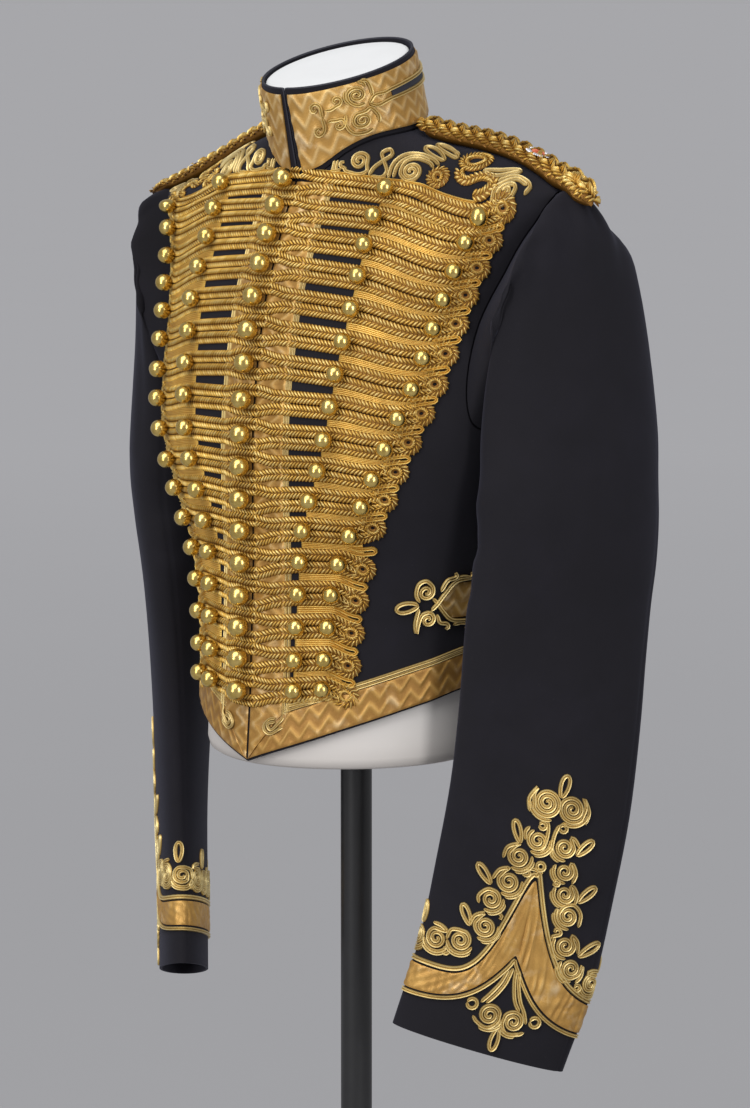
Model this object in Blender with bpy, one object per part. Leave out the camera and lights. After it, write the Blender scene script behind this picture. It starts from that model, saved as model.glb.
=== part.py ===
"""Waist-length military dress tunic standing on a limbless dress form.

Frame: metres, +Z up, the front faces -Y, the wearer's left is +X, the origin is
on the floor at the middle of the stand's base.

The body is a stack of horizontal rounded sections.  The cloth panels, laces,
frog bars and the form under them are all worked out from that one stack.
"""
import math

import bmesh
import bpy
import numpy as np
from mathutils import Vector
from mathutils.bvhtree import BVHTree

# ---------------------------------------------------------------- driving sizes
WALL = 0.0020            # cloth thickness
SEAM_GAP = 0.0003        # clearance between neighbouring pieces
LACE_T = 0.0012          # thickness of a flat lace
BAR_T = 0.0030           # thickness of a frog bar
BAR_HALF = 0.0086        # half height of a frog bar (two braids)
ROSETTE_R = 0.0092       # radius of the coiled outer end
BALL_R = 0.0070          # inner and outer ball buttons
CENTRE_BALL_R = 0.0080   # centre ball buttons
BALL_SIDES = 6
BALL_SINK = 0.0016       # how far a ball sits into its bar
CENTRE_BALL_X = -0.0046  # the centre balls sit just on the wearer's right
FORM_GAP = 0.0045        # air between the form and the cloth
NECK_FIT = 0.0011        # air between the form's neck and the collar
POLE_R = 0.0125
RIM_Z = 0.7190           # lower rim of the form
FLOOR_Z = RIM_Z - 0.0050
FORM_HALF_W = 0.1740
SHOULDER_EASE = 0.0030   # the form stands further in under the shoulders
NECK_DIP = 0.16
FORM_NECK = (
    # z      wide    deep    y
    (1.2140, 0.0500, 0.0500, -0.0060),
    (1.2300, 0.0495, 0.0520, -0.0140),
)
FORM_TILT = 0.035        # the form's underside rises toward the back
BASE_R = 0.1900
BASE_H = 0.0120
NECK_TOP_Z = 1.2475      # middle of the form's neck cap, just inside the collar
HUB_R = 0.0300
HUB_H = 0.0300

# Sections of the body: height, half width, depth in front of and behind the
# centre line of the section, that line's y, and the roundness of each half.
TORSO = (
    # z      width    front    back     y        nf     nb
    (0.640, 0.1240, 0.1160, 0.0950, -0.0120, 1.88, 2.25),
    (0.720, 0.1250, 0.1125, 0.0940, -0.0115, 1.88, 2.25),
    (0.770, 0.1255, 0.1095, 0.0950, -0.0110, 1.85, 2.25),
    (0.820, 0.1285, 0.1080, 0.0990, -0.0105, 1.85, 2.30),
    (0.869, 0.1375, 0.1055, 0.1060, -0.0110, 1.90, 2.30),
    (0.919, 0.1525, 0.1040, 0.1130, -0.0130, 2.10, 2.30),
    (0.970, 0.1630, 0.1043, 0.1180, -0.0120, 2.30, 2.30),
    (1.010, 0.1665, 0.1043, 0.1185, -0.0085, 2.20, 2.30),
    (1.050, 0.1705, 0.1020, 0.1160, -0.0045, 2.05, 2.25),
    (1.075, 0.1765, 0.0975, 0.1115, -0.0035, 1.92, 2.20),
    (1.099, 0.1850, 0.0898, 0.1045, -0.0030, 1.75, 2.15),
    (1.122, 0.1960, 0.0825, 0.0960, -0.0020, 1.60, 2.10),
    (1.140, 0.2040, 0.0760, 0.0880, -0.0010, 1.50, 2.05),
    (1.149, 0.2050, 0.0720, 0.0840, 0.0000, 1.47, 2.05),
    (1.158, 0.1900, 0.0690, 0.0795, 0.0005, 1.47, 2.00),
    (1.166, 0.1710, 0.0665, 0.0760, 0.0010, 1.50, 2.00),
    (1.174, 0.1490, 0.0645, 0.0725, 0.0012, 1.55, 2.00),
    (1.181, 0.1280, 0.0625, 0.0690, 0.0015, 1.62, 2.00),
    (1.187, 0.1070, 0.0600, 0.0655, 0.0018, 1.72, 2.00),
    (1.193, 0.0860, 0.0570, 0.0620, 0.0020, 1.84, 2.00),
    (1.200, 0.0660, 0.0535, 0.0575, 0.0025, 1.95, 2.00),
    (1.212, 0.0540, 0.0490, 0.0500, 0.0030, 2.00, 2.00),
    (1.235, 0.0500, 0.0440, 0.0410, 0.0030, 2.00, 2.00),
)

# The armhole's front edge as height and distance from the middle, from the
# shoulder tip down to the side seam, and its back edge as height and turn
# round the body (0 front, 1 side, 2 back) from the side seam up.
SHOULDER_TIP_Z = 1.1520
UNDERARM_Z = 0.9720
ARMHOLE_FRONT = (
    # z      x
    (1.1490, 0.2035),
    (1.1390, 0.1975),
    (1.1200, 0.1860),
    (1.0950, 0.1745),
    (1.0600, 0.1620),
    (1.0250, 0.1575),
    (0.9950, 0.1575),
    (0.9780, 0.1605),
)
ARMHOLE_BACK = (
    # z      turn
    (0.9790, 1.180),
    (1.0050, 1.280),
    (1.0450, 1.320),
    (1.0850, 1.310),
    (1.1130, 1.270),
    (1.1350, 1.200),
    (1.1475, 1.120),
)
SIDE_TURN = 1.040        # the side seam and the shoulder seam share this turn
TOP_FADE = 6              # how fast the neckline's shape fades down a panel
ARM_STEPS = 10           # points of each half of an armhole

# The hem's lower edge: turn round the body and height.
HEM = (
    # turn   z
    (0.000, 0.7145),
    (0.250, 0.7310),
    (0.500, 0.7480),
    (0.750, 0.7625),
    (1.000, 0.7720),
    (1.400, 0.7720),
    (2.000, 0.7640),
)

# The collar's rings: the foot follows the neckline, the top is a leaning oval.
NECK_HALF_W = 0.0650
NECK_HALF_D = 0.0575
NECK_Y = -0.0085
COLLAR_HALF_W = 0.0575
COLLAR_HALF_D = 0.0610
COLLAR_Y = -0.0210
COLLAR_FRONT_Z = 1.2320
COLLAR_BACK_Z = 1.2700
FOOT_RISE = 0.0016       # the collar stands this far above the neckline
LACE_FOOT = 0.060        # the collar lace starts this share of the way up
COLLAR_GAP = 0.0032      # opening between the collar's two front edges
COLLAR_WALL = 0.0022
PIPING = 0.0035          # plain cloth left above the collar lace

# Sleeve rings on the wearer's left: centre, tilt of the ring from upright
# (0) to level (90), lean of a level ring, heading of its wide side, half
# thickness and half width.
SLEEVE = (
    # x      y        z       tilt   lean  head   thick    width
    (0.1910, 0.0080, 1.0630, 15.0, 0.0, 90.0, 0.0925, 0.0600),
    (0.1985, 0.0160, 1.0495, 21.0, 0.0, 80.0, 0.0895, 0.0670),
    (0.2015, 0.0185, 1.0275, 26.0, 0.0, 74.0, 0.0790, 0.0695),
    (0.2020, 0.0185, 1.0000, 33.0, 0.0, 70.0, 0.0660, 0.0715),
    (0.2030, 0.0180, 0.9700, 43.0, 0.0, 68.5, 0.0550, 0.0740),
    (0.2045, 0.0160, 0.9385, 55.0, 0.0, 68.0, 0.0465, 0.0755),
    (0.2045, 0.0145, 0.9050, 69.0, 0.0, 67.0, 0.0410, 0.0765),
    (0.2030, 0.0130, 0.8700, 82.0, 1.0, 64.0, 0.0360, 0.0755),
    (0.2005, 0.0105, 0.8350, 90.0, 3.0, 60.5, 0.0320, 0.0740),
    (0.1990, 0.0065, 0.7900, 90.0, 7.0, 56.0, 0.0285, 0.0725),
    (0.1960, 0.0015, 0.7200, 90.0, 11.0, 51.0, 0.0240, 0.0715),
    (0.1885, -0.0080, 0.6500, 90.0, 14.0, 48.0, 0.0215, 0.0710),
    (0.1775, -0.0180, 0.5750, 90.0, 16.0, 47.0, 0.0200, 0.0705),
    (0.1600, -0.0355, 0.4980, 90.0, 17.0, 46.0, 0.0200, 0.0690),
)
SLEEVE_AROUND = 2 * ARM_STEPS
SLEEVE_RINGS = 16

# Large folds of a sleeve: place down the sleeve (0 head, 1 cuff), place round
# it in degrees (0 outer side, 90 front, 180 inner side), reach down and round,
# depth (a trough is negative) and slant of the fold in degrees per unit down.
SLEEVE_FOLDS = (
    # down  round  reach  spread  depth    slant
    (0.10, 60.0, 0.080, 16.0, -0.0030, -60.0),
    (0.10, 20.0, 0.075, 14.0, -0.0022, 0.0),
    (0.11, 335.0, 0.080, 16.0, -0.0026, 60.0),
    (0.12, 290.0, 0.070, 18.0, -0.0024, 90.0),
    (0.16, 82.0, 0.100, 18.0, 0.0026, -40.0),
    (0.46, 95.0, 0.045, 34.0, -0.0034, 0.0),
    (0.54, 80.0, 0.040, 30.0, -0.0026, 0.0),
    (0.50, 245.0, 0.060, 40.0, 0.0024, 0.0),
)

# Frog rows: height at the centre, x and height of the inner and outer balls'
# feet on the cloth, and the height of the coiled end past the outer ball.
FROG_ROWS = (
    # z      in x    in z    out x   out z   end z
    (1.1603, 0.0853, 1.1544, 0.1614, 1.1353, 1.1420),
    (1.1390, 0.0828, 1.1349, 0.1540, 1.1179, 1.1195),
    (1.1184, 0.0815, 1.1135, 0.1479, 1.0962, 1.0990),
    (1.0959, 0.0824, 1.0903, 0.1430, 1.0754, 1.0789),
    (1.0722, 0.0826, 1.0664, 0.1386, 1.0539, 1.0574),
    (1.0475, 0.0797, 1.0421, 0.1345, 1.0315, 1.0350),
    (1.0221, 0.0776, 1.0180, 0.1301, 1.0085, 1.0120),
    (0.9946, 0.0756, 0.9934, 0.1235, 0.9864, 0.9899),
    (0.9688, 0.0720, 0.9689, 0.1157, 0.9644, 0.9679),
    (0.9440, 0.0663, 0.9456, 0.1058, 0.9415, 0.9450),
    (0.9186, 0.0581, 0.9220, 0.0960, 0.9199, 0.9234),
    (0.8945, 0.0507, 0.8986, 0.0853, 0.8976, 0.9011),
    (0.8688, 0.0465, 0.8740, 0.0745, 0.8743, 0.8673),
    (0.8432, 0.0446, 0.8487, 0.0684, 0.8496, 0.8426),
    (0.8190, 0.0434, 0.8229, 0.0652, 0.8242, 0.8172),
    (0.7947, 0.0421, 0.7972, 0.0629, 0.7989, 0.7919),
    (0.7694, 0.0419, 0.7735, 0.0617, 0.7757, 0.7687),
)
TAIL = 0.0175            # from the outer ball to the middle of the coiled end
SHOULDER_LIFT = 0.0090   # how much the left shoulder rises and the right one drops
LIFT_FROM_X = 0.0750
LIFT_FULL_X = 0.1700
LIFT_FROM_Z = 1.1300
LIFT_FULL_Z = 1.1700
RIGHT_SHORT = 0.0280     # share of its length by which the right sleeve hangs shorter
SHORT_BELOW_Z = 0.9500
LAP_X = 0.0040           # right bars lap over the front edge as far as this
LAP_GAP = 0.0011

REACH = 0.0250           # how far above a piece the search for cloth starts
SETTLE_GAP = 0.0006      # clearance of a settled piece
FRONT_LACE_W = 0.0300
HEM_LACE_W = 0.0250
HEM_PIPING = 0.0030
HIP_START = 0.800        # turn of the hip lace's point
HIP_REACH = 0.225
HIP_HALF = 0.0135
HIP_Z = 0.8430
CUFF_LACE_W = 0.0205
CUFF_PLAIN = 0.0310      # plain cloth below the cuff lace
CUFF_NOTCH = 0.0500      # rise of the cuff lace's lower edge
CUFF_PEAK = 0.0900       # rise of its upper edge
CUFF_APEX = 357.0        # where round the sleeve the point stands
CUFF_SPREAD = (17.4, 21.0)      # how fast the point falls on its two sides, in degrees
CUFF_POWER = (1.6, 1.1)
NOTCH_SPREAD = (19.0, 22.6)     # the same for the notch in the lower edge
NOTCH_POWER = 1.2
CORD_HALF_W = 0.0125     # shoulder cords
CORD_HALF_H = 0.0055
CORD_END_X = 0.2290
STAR_STATION = 8         # station of the cord that carries the star
BADGE_R = 0.0100
BADGE_T = 0.0026

# name: base colour, roughness, metallic
LOOKS = {
    "navy_cloth": ((0.012, 0.011, 0.020, 1.0), 0.90, 0.0),
    "gold_lace": ((0.52, 0.29, 0.09, 1.0), 0.50, 0.30),
    "gold_braid": ((0.60, 0.36, 0.12, 1.0), 0.55, 0.25),
    "silver_star": ((0.62, 0.60, 0.56, 1.0), 0.40, 0.60),
    "white_form": ((0.82, 0.82, 0.81, 1.0), 0.55, 0.0),
    "black_pole": ((0.012, 0.012, 0.013, 1.0), 0.35, 0.0),
}


# ------------------------------------------------------------------ small maths
def smooth_table(table, at):
    """Read every column of a table at the values `at` along a monotone curve."""
    rows = np.array(table, dtype=float)
    x = rows[:, 0]
    y = rows[:, 1:]
    step = np.diff(x)[:, None]
    slope = np.diff(y, axis=0) / step
    m = np.zeros_like(y)
    before = slope[:-1]
    after = slope[1:]
    same = before * after > 0.0
    w1 = 2.0 * step[1:] + step[:-1]
    w2 = step[1:] + 2.0 * step[:-1]
    safe_b = np.where(same, before, 1.0)
    safe_a = np.where(same, after, 1.0)
    m[1:-1] = np.where(same, (w1 + w2) / (w1 / safe_b + w2 / safe_a), 0.0)
    m[0] = slope[0]
    m[-1] = slope[-1]
    at = np.clip(np.asarray(at, dtype=float), x[0], x[-1])
    k = np.clip(np.searchsorted(x, at, side="right") - 1, 0, len(x) - 2)
    h = step[k]
    t = ((at - x[k]) / h[..., 0])[..., None]
    t2 = t * t
    t3 = t2 * t
    return (
        (2 * t3 - 3 * t2 + 1) * y[k]
        + (t3 - 2 * t2 + t) * h * m[k]
        + (3 * t2 - 2 * t3) * y[k + 1]
        + (t3 - t2) * h * m[k + 1]
    )


def unit(v):
    """Vectors scaled to length one."""
    return v / np.maximum(np.linalg.norm(v, axis=-1, keepdims=True), 1e-12)


def spline(points, count, closed=False):
    """Evenly spaced points on a smooth curve through the given ones."""
    p = np.array(points, dtype=float)
    if closed:
        p = np.vstack([p[-1], p, p[0], p[1]])
    else:
        p = np.vstack([2 * p[0] - p[1], p, 2 * p[-1] - p[-2]])
    fine = []
    for i in range(1, len(p) - 2):
        t = np.linspace(0.0, 1.0, 24, endpoint=False)[:, None]
        a = 2 * p[i]
        b = p[i + 1] - p[i - 1]
        c = 2 * p[i - 1] - 5 * p[i] + 4 * p[i + 1] - p[i + 2]
        d = -p[i - 1] + 3 * p[i] - 3 * p[i + 1] + p[i + 2]
        fine.append(0.5 * (a + b * t + c * t * t + d * t ** 3))
    fine.append(p[-2][None, :])
    fine = np.vstack(fine)
    run = np.concatenate([[0.0], np.cumsum(np.linalg.norm(np.diff(fine, axis=0), axis=1))])
    want = np.linspace(0.0, run[-1], count, endpoint=not closed)
    return np.stack([np.interp(want, run, fine[:, i]) for i in range(fine.shape[1])], axis=1)


# --------------------------------------------------------------- the body's form
def body_point(turn, z):
    """Point of the body's outer surface at a turn and height."""
    turn = np.asarray(turn, dtype=float)
    wide, front, back, mid, nf, nb = np.moveaxis(smooth_table(TORSO, z), -1, 0)
    s = np.sin(turn * math.pi / 2)
    c = np.cos(turn * math.pi / 2)
    power = np.where(c > 0, 2.0 / nf, 2.0 / nb)
    depth = np.where(c > 0, front, back)
    x = wide * np.sign(s) * np.abs(s) ** power
    y = mid - depth * np.sign(c) * np.abs(c) ** power
    return np.stack([x, y, z + 0.0 * x], axis=-1)


def body_normal(turn, z):
    """Outward direction of the body's surface."""
    d = 0.004
    du = body_point(turn + d, z) - body_point(turn - d, z)
    dz = body_point(turn, z + 0.0008) - body_point(turn, z - 0.0008)
    return unit(np.cross(du, dz))


def body_out(turn, z, off):
    """Body point moved out along the surface's normal."""
    return body_point(turn, z) + off * body_normal(turn, z)


def turn_of(x, z):
    """Turn of the front surface at a given x and height."""
    row = smooth_table(TORSO, z)
    wide = row[..., 0]
    nf = row[..., 4]
    s = np.clip(np.abs(x) / wide, 0.0, 1.0) ** (nf / 2.0)
    return np.sign(x) * np.arcsin(s) * 2.0 / math.pi


def neckline(angle):
    """Foot of the collar: the body's surface over an oval round the neck."""
    angle = np.asarray(angle, dtype=float)
    x = NECK_HALF_W * np.sin(angle)
    y = NECK_Y - NECK_HALF_D * np.cos(angle)
    low = np.full(x.shape, 1.140)
    high = np.full(x.shape, 1.235)
    for _ in range(40):
        mid = 0.5 * (low + high)
        wide, front, back, cy, nf, nb = np.moveaxis(smooth_table(TORSO, mid), -1, 0)
        ahead = y < cy
        power = np.where(ahead, nf, nb)
        depth = np.where(ahead, front, back)
        inside = (np.abs(x) / wide) ** power + (np.abs(y - cy) / depth) ** power < 1.0
        low = np.where(inside, mid, low)
        high = np.where(inside, high, mid)
    return np.stack([x, y, low], axis=-1)


def neck_turn(point):
    """Turn round the body of a point of the neckline."""
    wide, front, back, cy, nf, nb = np.moveaxis(smooth_table(TORSO, point[..., 2]), -1, 0)
    ahead = point[..., 1] < cy
    power = np.where(ahead, nf, nb)
    depth = np.where(ahead, front, back)
    s = (np.abs(point[..., 0]) / wide) ** (power / 2.0)
    c = (np.abs(point[..., 1] - cy) / depth) ** (power / 2.0)
    return np.where(ahead, np.arctan2(s, c), math.pi - np.arctan2(s, c)) * 2.0 / math.pi


# ------------------------------------------------------------------ mesh helpers
def look(name):
    """Principled material with one of the named looks."""
    mat = bpy.data.materials.get(name)
    if mat:
        return mat
    mat = bpy.data.materials.new(name)
    mat.use_nodes = True
    colour, rough, metal = LOOKS[name]
    shader = mat.node_tree.nodes["Principled BSDF"]
    shader.inputs["Base Color"].default_value = colour
    shader.inputs["Roughness"].default_value = rough
    shader.inputs["Metallic"].default_value = metal
    mat.diffuse_color = colour
    return mat


def add_object(name, verts, faces, material, smooth=40.0):
    """One closed mesh object with its faces turned outward."""
    mesh = bpy.data.meshes.new(name)
    mesh.from_pydata([tuple(map(float, v)) for v in verts], [], faces)
    work = bmesh.new()
    work.from_mesh(mesh)
    bmesh.ops.recalc_face_normals(work, faces=work.faces)
    work.to_mesh(mesh)
    work.free()
    mesh.shade_smooth()
    mesh.set_sharp_from_angle(angle=math.radians(smooth))
    mesh.materials.append(look(material))
    obj = bpy.data.objects.new(name, mesh)
    bpy.context.collection.objects.link(obj)
    return obj


def shell(outer, inner, ring=False):
    """Closed wall between two grids of points; `ring` joins the last column."""
    rows, cols = outer.shape[:2]
    n = rows * cols
    verts = np.vstack([outer.reshape(-1, 3), inner.reshape(-1, 3)])
    faces = []
    for r in range(rows - 1):
        for c in range(cols if ring else cols - 1):
            a = r * cols + c
            b = r * cols + (c + 1) % cols
            d = a + cols
            e = b + cols
            faces.append((a, b, e, d))
            faces.append((n + a, n + d, n + e, n + b))
    for c in range(cols if ring else cols - 1):
        a = c
        b = (c + 1) % cols
        faces.append((a, n + a, n + b, b))
        a += (rows - 1) * cols
        b += (rows - 1) * cols
        faces.append((a, b, n + b, n + a))
    if not ring:
        for r in range(rows - 1):
            a = r * cols
            d = a + cols
            faces.append((a, d, n + d, n + a))
            a += cols - 1
            d += cols - 1
            faces.append((a, n + a, n + d, d))
    return verts, faces


def tube(rings, cap=True):
    """Solid through rings of equal point counts, closed at both ends."""
    rows, cols = rings.shape[:2]
    faces = []
    for r in range(rows - 1):
        for c in range(cols):
            a = r * cols + c
            b = r * cols + (c + 1) % cols
            faces.append((a, b, b + cols, a + cols))
    if cap:
        faces.append(tuple(range(cols)))
        faces.append(tuple((rows - 1) * cols + c for c in range(cols)))
    return rings.reshape(-1, 3), faces


def mirrored(points):
    """The same points on the wearer's right."""
    return points * np.array([-1.0, 1.0, 1.0])


def tree_of(*names):
    """Search tree over the faces of finished objects."""
    verts = []
    faces = []
    for name in names:
        mesh = bpy.data.objects[name].data
        start = len(verts)
        verts.extend(v.co.copy() for v in mesh.vertices)
        faces.extend([start + i for i in f.vertices] for f in mesh.polygons)
    return BVHTree.FromPolygons(verts, faces)


def rise_needed(rings, out, tree, ring):
    """How far each ring moves along `out` so that no face dips under the tree."""
    rows, cols = rings.shape[:2]
    need = np.zeros(rows)
    steps = np.linspace(0.0, 1.0, 7)
    for k in range(rows - 1):
        for c in range(cols if ring else cols - 1):
            n = (c + 1) % cols
            for s in steps:
                a = rings[k, c] * (1 - s) + rings[k + 1, c] * s
                b = rings[k, n] * (1 - s) + rings[k + 1, n] * s
                d = unit(out[k] * (1 - s) + out[k + 1] * s)
                for t in steps:
                    start = a * (1 - t) + b * t + REACH * d
                    hit = tree.ray_cast(Vector(start), Vector(-d), REACH + 0.006)
                    if hit[3] is not None:
                        climb = REACH - hit[3] + SETTLE_GAP
                        need[k] = max(need[k], climb)
                        need[k + 1] = max(need[k + 1], climb)
    return need


# ------------------------------------------------------------------ cloth panels
def coons(bottom, right, top, left):
    """Grid of turn and height between four edges; the top's shape fades fast."""
    cols = len(bottom)
    rows = len(left)
    u = np.linspace(0.0, 1.0, cols)[None, :, None]
    v = np.linspace(0.0, 1.0, rows)[:, None, None]
    flat_low = (1 - u) * bottom[0] + u * bottom[-1]
    flat_high = (1 - u) * top[0] + u * top[-1]
    across = (1 - u) * left[:, None] + u * right[:, None]
    return across + (1 - v) * (bottom[None] - flat_low) + v ** TOP_FADE * (top[None] - flat_high)


def joined(first, second, steps_first, steps_second):
    """Two edge runs end to end with a set number of steps in each."""
    one = spline(first, steps_first + 1)
    two = spline(second, steps_second + 1)
    return np.vstack([one, two[1:]])


def edge_turn(z, back):
    """Turn of a centre edge, half a seam gap from the middle."""
    row = smooth_table(TORSO, z)
    power = row[..., 5] if back else row[..., 4]
    turn = np.arcsin((0.5 * SEAM_GAP / row[..., 0]) ** (power / 2.0)) * 2.0 / math.pi
    return 2.0 - turn if back else turn


def armhole_edge(back):
    """Turn and height down the front edge or up the back edge of the armhole."""
    low = (SIDE_TURN, UNDERARM_Z)
    high = (SIDE_TURN, SHOULDER_TIP_Z)
    if back:
        return np.array([low] + [(t, z) for z, t in ARMHOLE_BACK] + [high])
    rows = np.array(ARMHOLE_FRONT)
    front = np.stack([turn_of(rows[:, 1], rows[:, 0]), rows[:, 0]], axis=1)
    return np.array([high] + [tuple(p) for p in front] + [low])


def hem_z(turn):
    """Height of the hem's lower edge."""
    return smooth_table(HEM, np.abs(turn))[..., 0]


def shoulder_angle(turn):
    """Angle round the neck where the shoulder seam meets the collar."""
    angles = np.linspace(1.2, 2.4, 200)
    return float(np.interp(turn, neck_turn(neckline(angles)), angles))


def front_domain(cols, side_steps):
    """Turn and height of a front panel's points."""
    arm = armhole_edge(False)[::-1]
    side = np.array([(SIDE_TURN, z) for z in np.linspace(hem_z(SIDE_TURN), UNDERARM_Z, 6)])
    right = joined(side, arm, side_steps, ARM_STEPS)
    neck = neckline(np.linspace(0.0027, shoulder_angle(SIDE_TURN), 12))
    neck = np.stack([neck_turn(neck), neck[:, 2]], axis=1)
    shoulder = np.array([arm[-1], (SIDE_TURN, 1.1760), neck[-1]])
    down = cols // 3
    top = joined(shoulder, neck[::-1], down, cols - 1 - down)[::-1]
    heights = np.linspace(hem_z(0.0), top[0, 1], len(right))
    left = np.stack([edge_turn(heights, False), heights], axis=1)
    turns = np.linspace(left[0, 0], SIDE_TURN, cols)
    bottom = np.stack([turns, hem_z(turns)], axis=1)
    top[0] = left[-1]
    return coons(bottom, right, top, left)


def back_domain(cols, side_steps):
    """Turn and height of a back panel's points."""
    start = SIDE_TURN + 0.0024
    arm = armhole_edge(True)
    arm[0, 0] = start
    arm[-1, 0] = start
    side = np.array([(start, z) for z in np.linspace(hem_z(SIDE_TURN), UNDERARM_Z, 6)])
    left = joined(side, arm, side_steps, ARM_STEPS)
    neck = neckline(np.linspace(shoulder_angle(start), math.pi, 12))
    neck = np.stack([neck_turn(neck), neck[:, 2]], axis=1)
    shoulder = np.array([arm[-1], (start, 1.1760), neck[0]])
    down = cols // 3
    top = joined(shoulder, neck, down, cols - 1 - down)
    heights = np.linspace(hem_z(2.0), top[-1, 1], len(left))
    right = np.stack([edge_turn(heights, True), heights], axis=1)
    turns = np.linspace(start, right[0, 0], cols)
    bottom = np.stack([turns, hem_z(turns)], axis=1)
    top[-1] = right[-1]
    return coons(bottom, right, top, left)


def add_panels():
    """Two fronts and two backs."""
    for part, domain in (("front", front_domain(13, 7)), ("back", back_domain(11, 5))):
        turn = domain[..., 0]
        z = domain[..., 1]
        outer = body_out(turn, z, 0.0)
        inner = body_out(turn, z, -WALL)
        for side, flip in (("left", False), ("right", True)):
            o = mirrored(outer) if flip else outer
            i = mirrored(inner) if flip else inner
            verts, faces = shell(o, i)
            add_object(part + "_" + side, verts, faces, "navy_cloth")


# ------------------------------------------------------------------------ sleeves
def armhole_loop(shrink):
    """Points of the armhole's corners, drawn in by `shrink` toward its middle."""
    front = spline(armhole_edge(False)[::-1], ARM_STEPS + 1)[::-1]
    back = spline(armhole_edge(True), ARM_STEPS + 1)
    loop = np.vstack([front[:-1], back[:-1]])
    at = body_point(loop[:, 0], loop[:, 1])
    out = body_normal(loop[:, 0], loop[:, 1])
    along = unit(np.roll(at, -1, axis=0) - np.roll(at, 1, axis=0))
    inward = unit(np.cross(along, out))
    middle = at.mean(axis=0)
    inward *= np.sign(((middle - at) * inward).sum(axis=1, keepdims=True))
    return at + shrink * inward


def sleeve_rows(count):
    """Sleeve table read at `count` even steps from the head to the cuff."""
    table = np.array(SLEEVE)
    step = np.arange(len(table), dtype=float)
    rows = np.column_stack([step, table])
    return smooth_table(rows, np.linspace(0.0, len(table) - 1.0, count))


def fold_depth(down, around):
    """How far the large folds move the cloth."""
    total = np.zeros(np.broadcast(down, around).shape)
    for at, turn, reach, spread, depth, slant in SLEEVE_FOLDS:
        away = (down - at) / reach
        bend = (around - turn - slant * (down - at) + 180.0) % 360.0 - 180.0
        total = total + depth * np.exp(-away ** 2 - (bend / spread) ** 2)
    return total


def sleeve_ring(row, around, down, inset):
    """One ring of the sleeve; `inset` moves it toward the ring's middle."""
    x, y, z, tilt, lean, head, thick, width = row
    tilt = math.radians(tilt)
    lean = math.radians(lean)
    head = math.radians(head)
    outward = np.array([math.sin(head), -math.cos(head), 0.0])
    ahead = np.array([-math.cos(head), -math.sin(head), 0.0])
    up = np.array([0.0, 0.0, 1.0])
    e1 = math.cos(tilt) * up + math.sin(tilt) * outward
    e2 = math.cos(lean) * ahead + math.sin(lean) * up
    t = np.radians(around)[:, None]
    bulge = fold_depth(down, around)[:, None]
    ct = np.cos(t)
    st = np.sin(t)
    normal = unit(width * ct * e1 + thick * st * e2)
    point = np.array([x, y, z]) + thick * ct * e1 + width * st * e2
    return point + (bulge - inset) * normal


def sleeve_grid(ring_count, inset):
    """All rings of the left sleeve, the first one on the armhole."""
    around = np.linspace(0.0, 360.0, SLEEVE_AROUND, endpoint=False)
    rows = sleeve_rows(ring_count)
    rings = [armhole_loop(0.0012 + inset)]
    for k, row in enumerate(rows):
        rings.append(sleeve_ring(row, around, k / (ring_count - 1.0), inset))
    return np.array(rings)


def add_sleeves():
    """Both sleeves, open at the armhole and the cuff."""
    outer = sleeve_grid(SLEEVE_RINGS, 0.0)
    inner = sleeve_grid(SLEEVE_RINGS, WALL)
    for side, flip in (("left", False), ("right", True)):
        o = mirrored(outer) if flip else outer
        i = mirrored(inner) if flip else inner
        verts, faces = shell(o, i, ring=True)
        add_object("sleeve_" + side, verts, faces, "navy_cloth", 60.0)


# ------------------------------------------------------------------------- collar
def collar_grid(angles, rises, off):
    """Points of the collar; rise 0 is its foot and 1 its top edge."""
    foot = neckline(angles)
    top = np.stack([
        COLLAR_HALF_W * np.sin(angles),
        COLLAR_Y - COLLAR_HALF_D * np.cos(angles),
        0.0 * angles,
    ], axis=-1)
    slope = (COLLAR_BACK_Z - COLLAR_FRONT_Z) / (2 * COLLAR_HALF_D)
    top[..., 2] = COLLAR_FRONT_Z + (top[..., 1] - COLLAR_Y + COLLAR_HALF_D) * slope
    out = unit(np.stack([
        np.sin(angles) / NECK_HALF_W,
        -np.cos(angles) / NECK_HALF_D,
        0.0 * angles,
    ], axis=-1))
    foot = foot + np.array([0.0, 0.0, FOOT_RISE])
    rows = [foot * (1 - v) + top * v + off * out for v in rises]
    return np.array(rows)


def add_collar():
    """Stand collar with its two laces."""
    gap = 0.5 * COLLAR_GAP / NECK_HALF_W
    angles = np.linspace(gap, 2 * math.pi - gap, 29)
    rises = np.linspace(0.0, 1.0, 3)
    verts, faces = shell(collar_grid(angles, rises, 0.0), collar_grid(angles, rises, -COLLAR_WALL))
    add_object("collar", verts, faces, "navy_cloth")
    half = angles[:15].copy()
    half[0] += 0.003
    half[-1] -= 0.003
    rises = np.array([LACE_FOOT, 0.5, 1.0 - PIPING / 0.058])
    low = collar_grid(half, rises, SEAM_GAP)
    high = collar_grid(half, rises, SEAM_GAP + LACE_T)
    for side, flip in (("left", False), ("right", True)):
        verts, faces = shell(mirrored(high) if flip else high, mirrored(low) if flip else low)
        add_object("collar_lace_" + side, verts, faces, "gold_lace")


# -------------------------------------------------------------------- front laces
def add_lace(name, turn, z, tree):
    """Flat lace laid over the cloth, one station for each row of the grid."""
    at = body_point(turn, z)
    out = body_normal(turn, z)
    middle = unit(out.mean(axis=1))
    low = at + rise_needed(at, middle, tree, False)[:, None, None] * middle[:, None]
    high = low + LACE_T * middle[:, None]
    for side, flip in (("left", False), ("right", True)):
        verts, faces = shell(mirrored(high) if flip else high, mirrored(low) if flip else low)
        add_object(name + side, verts, faces, "gold_lace")


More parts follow.
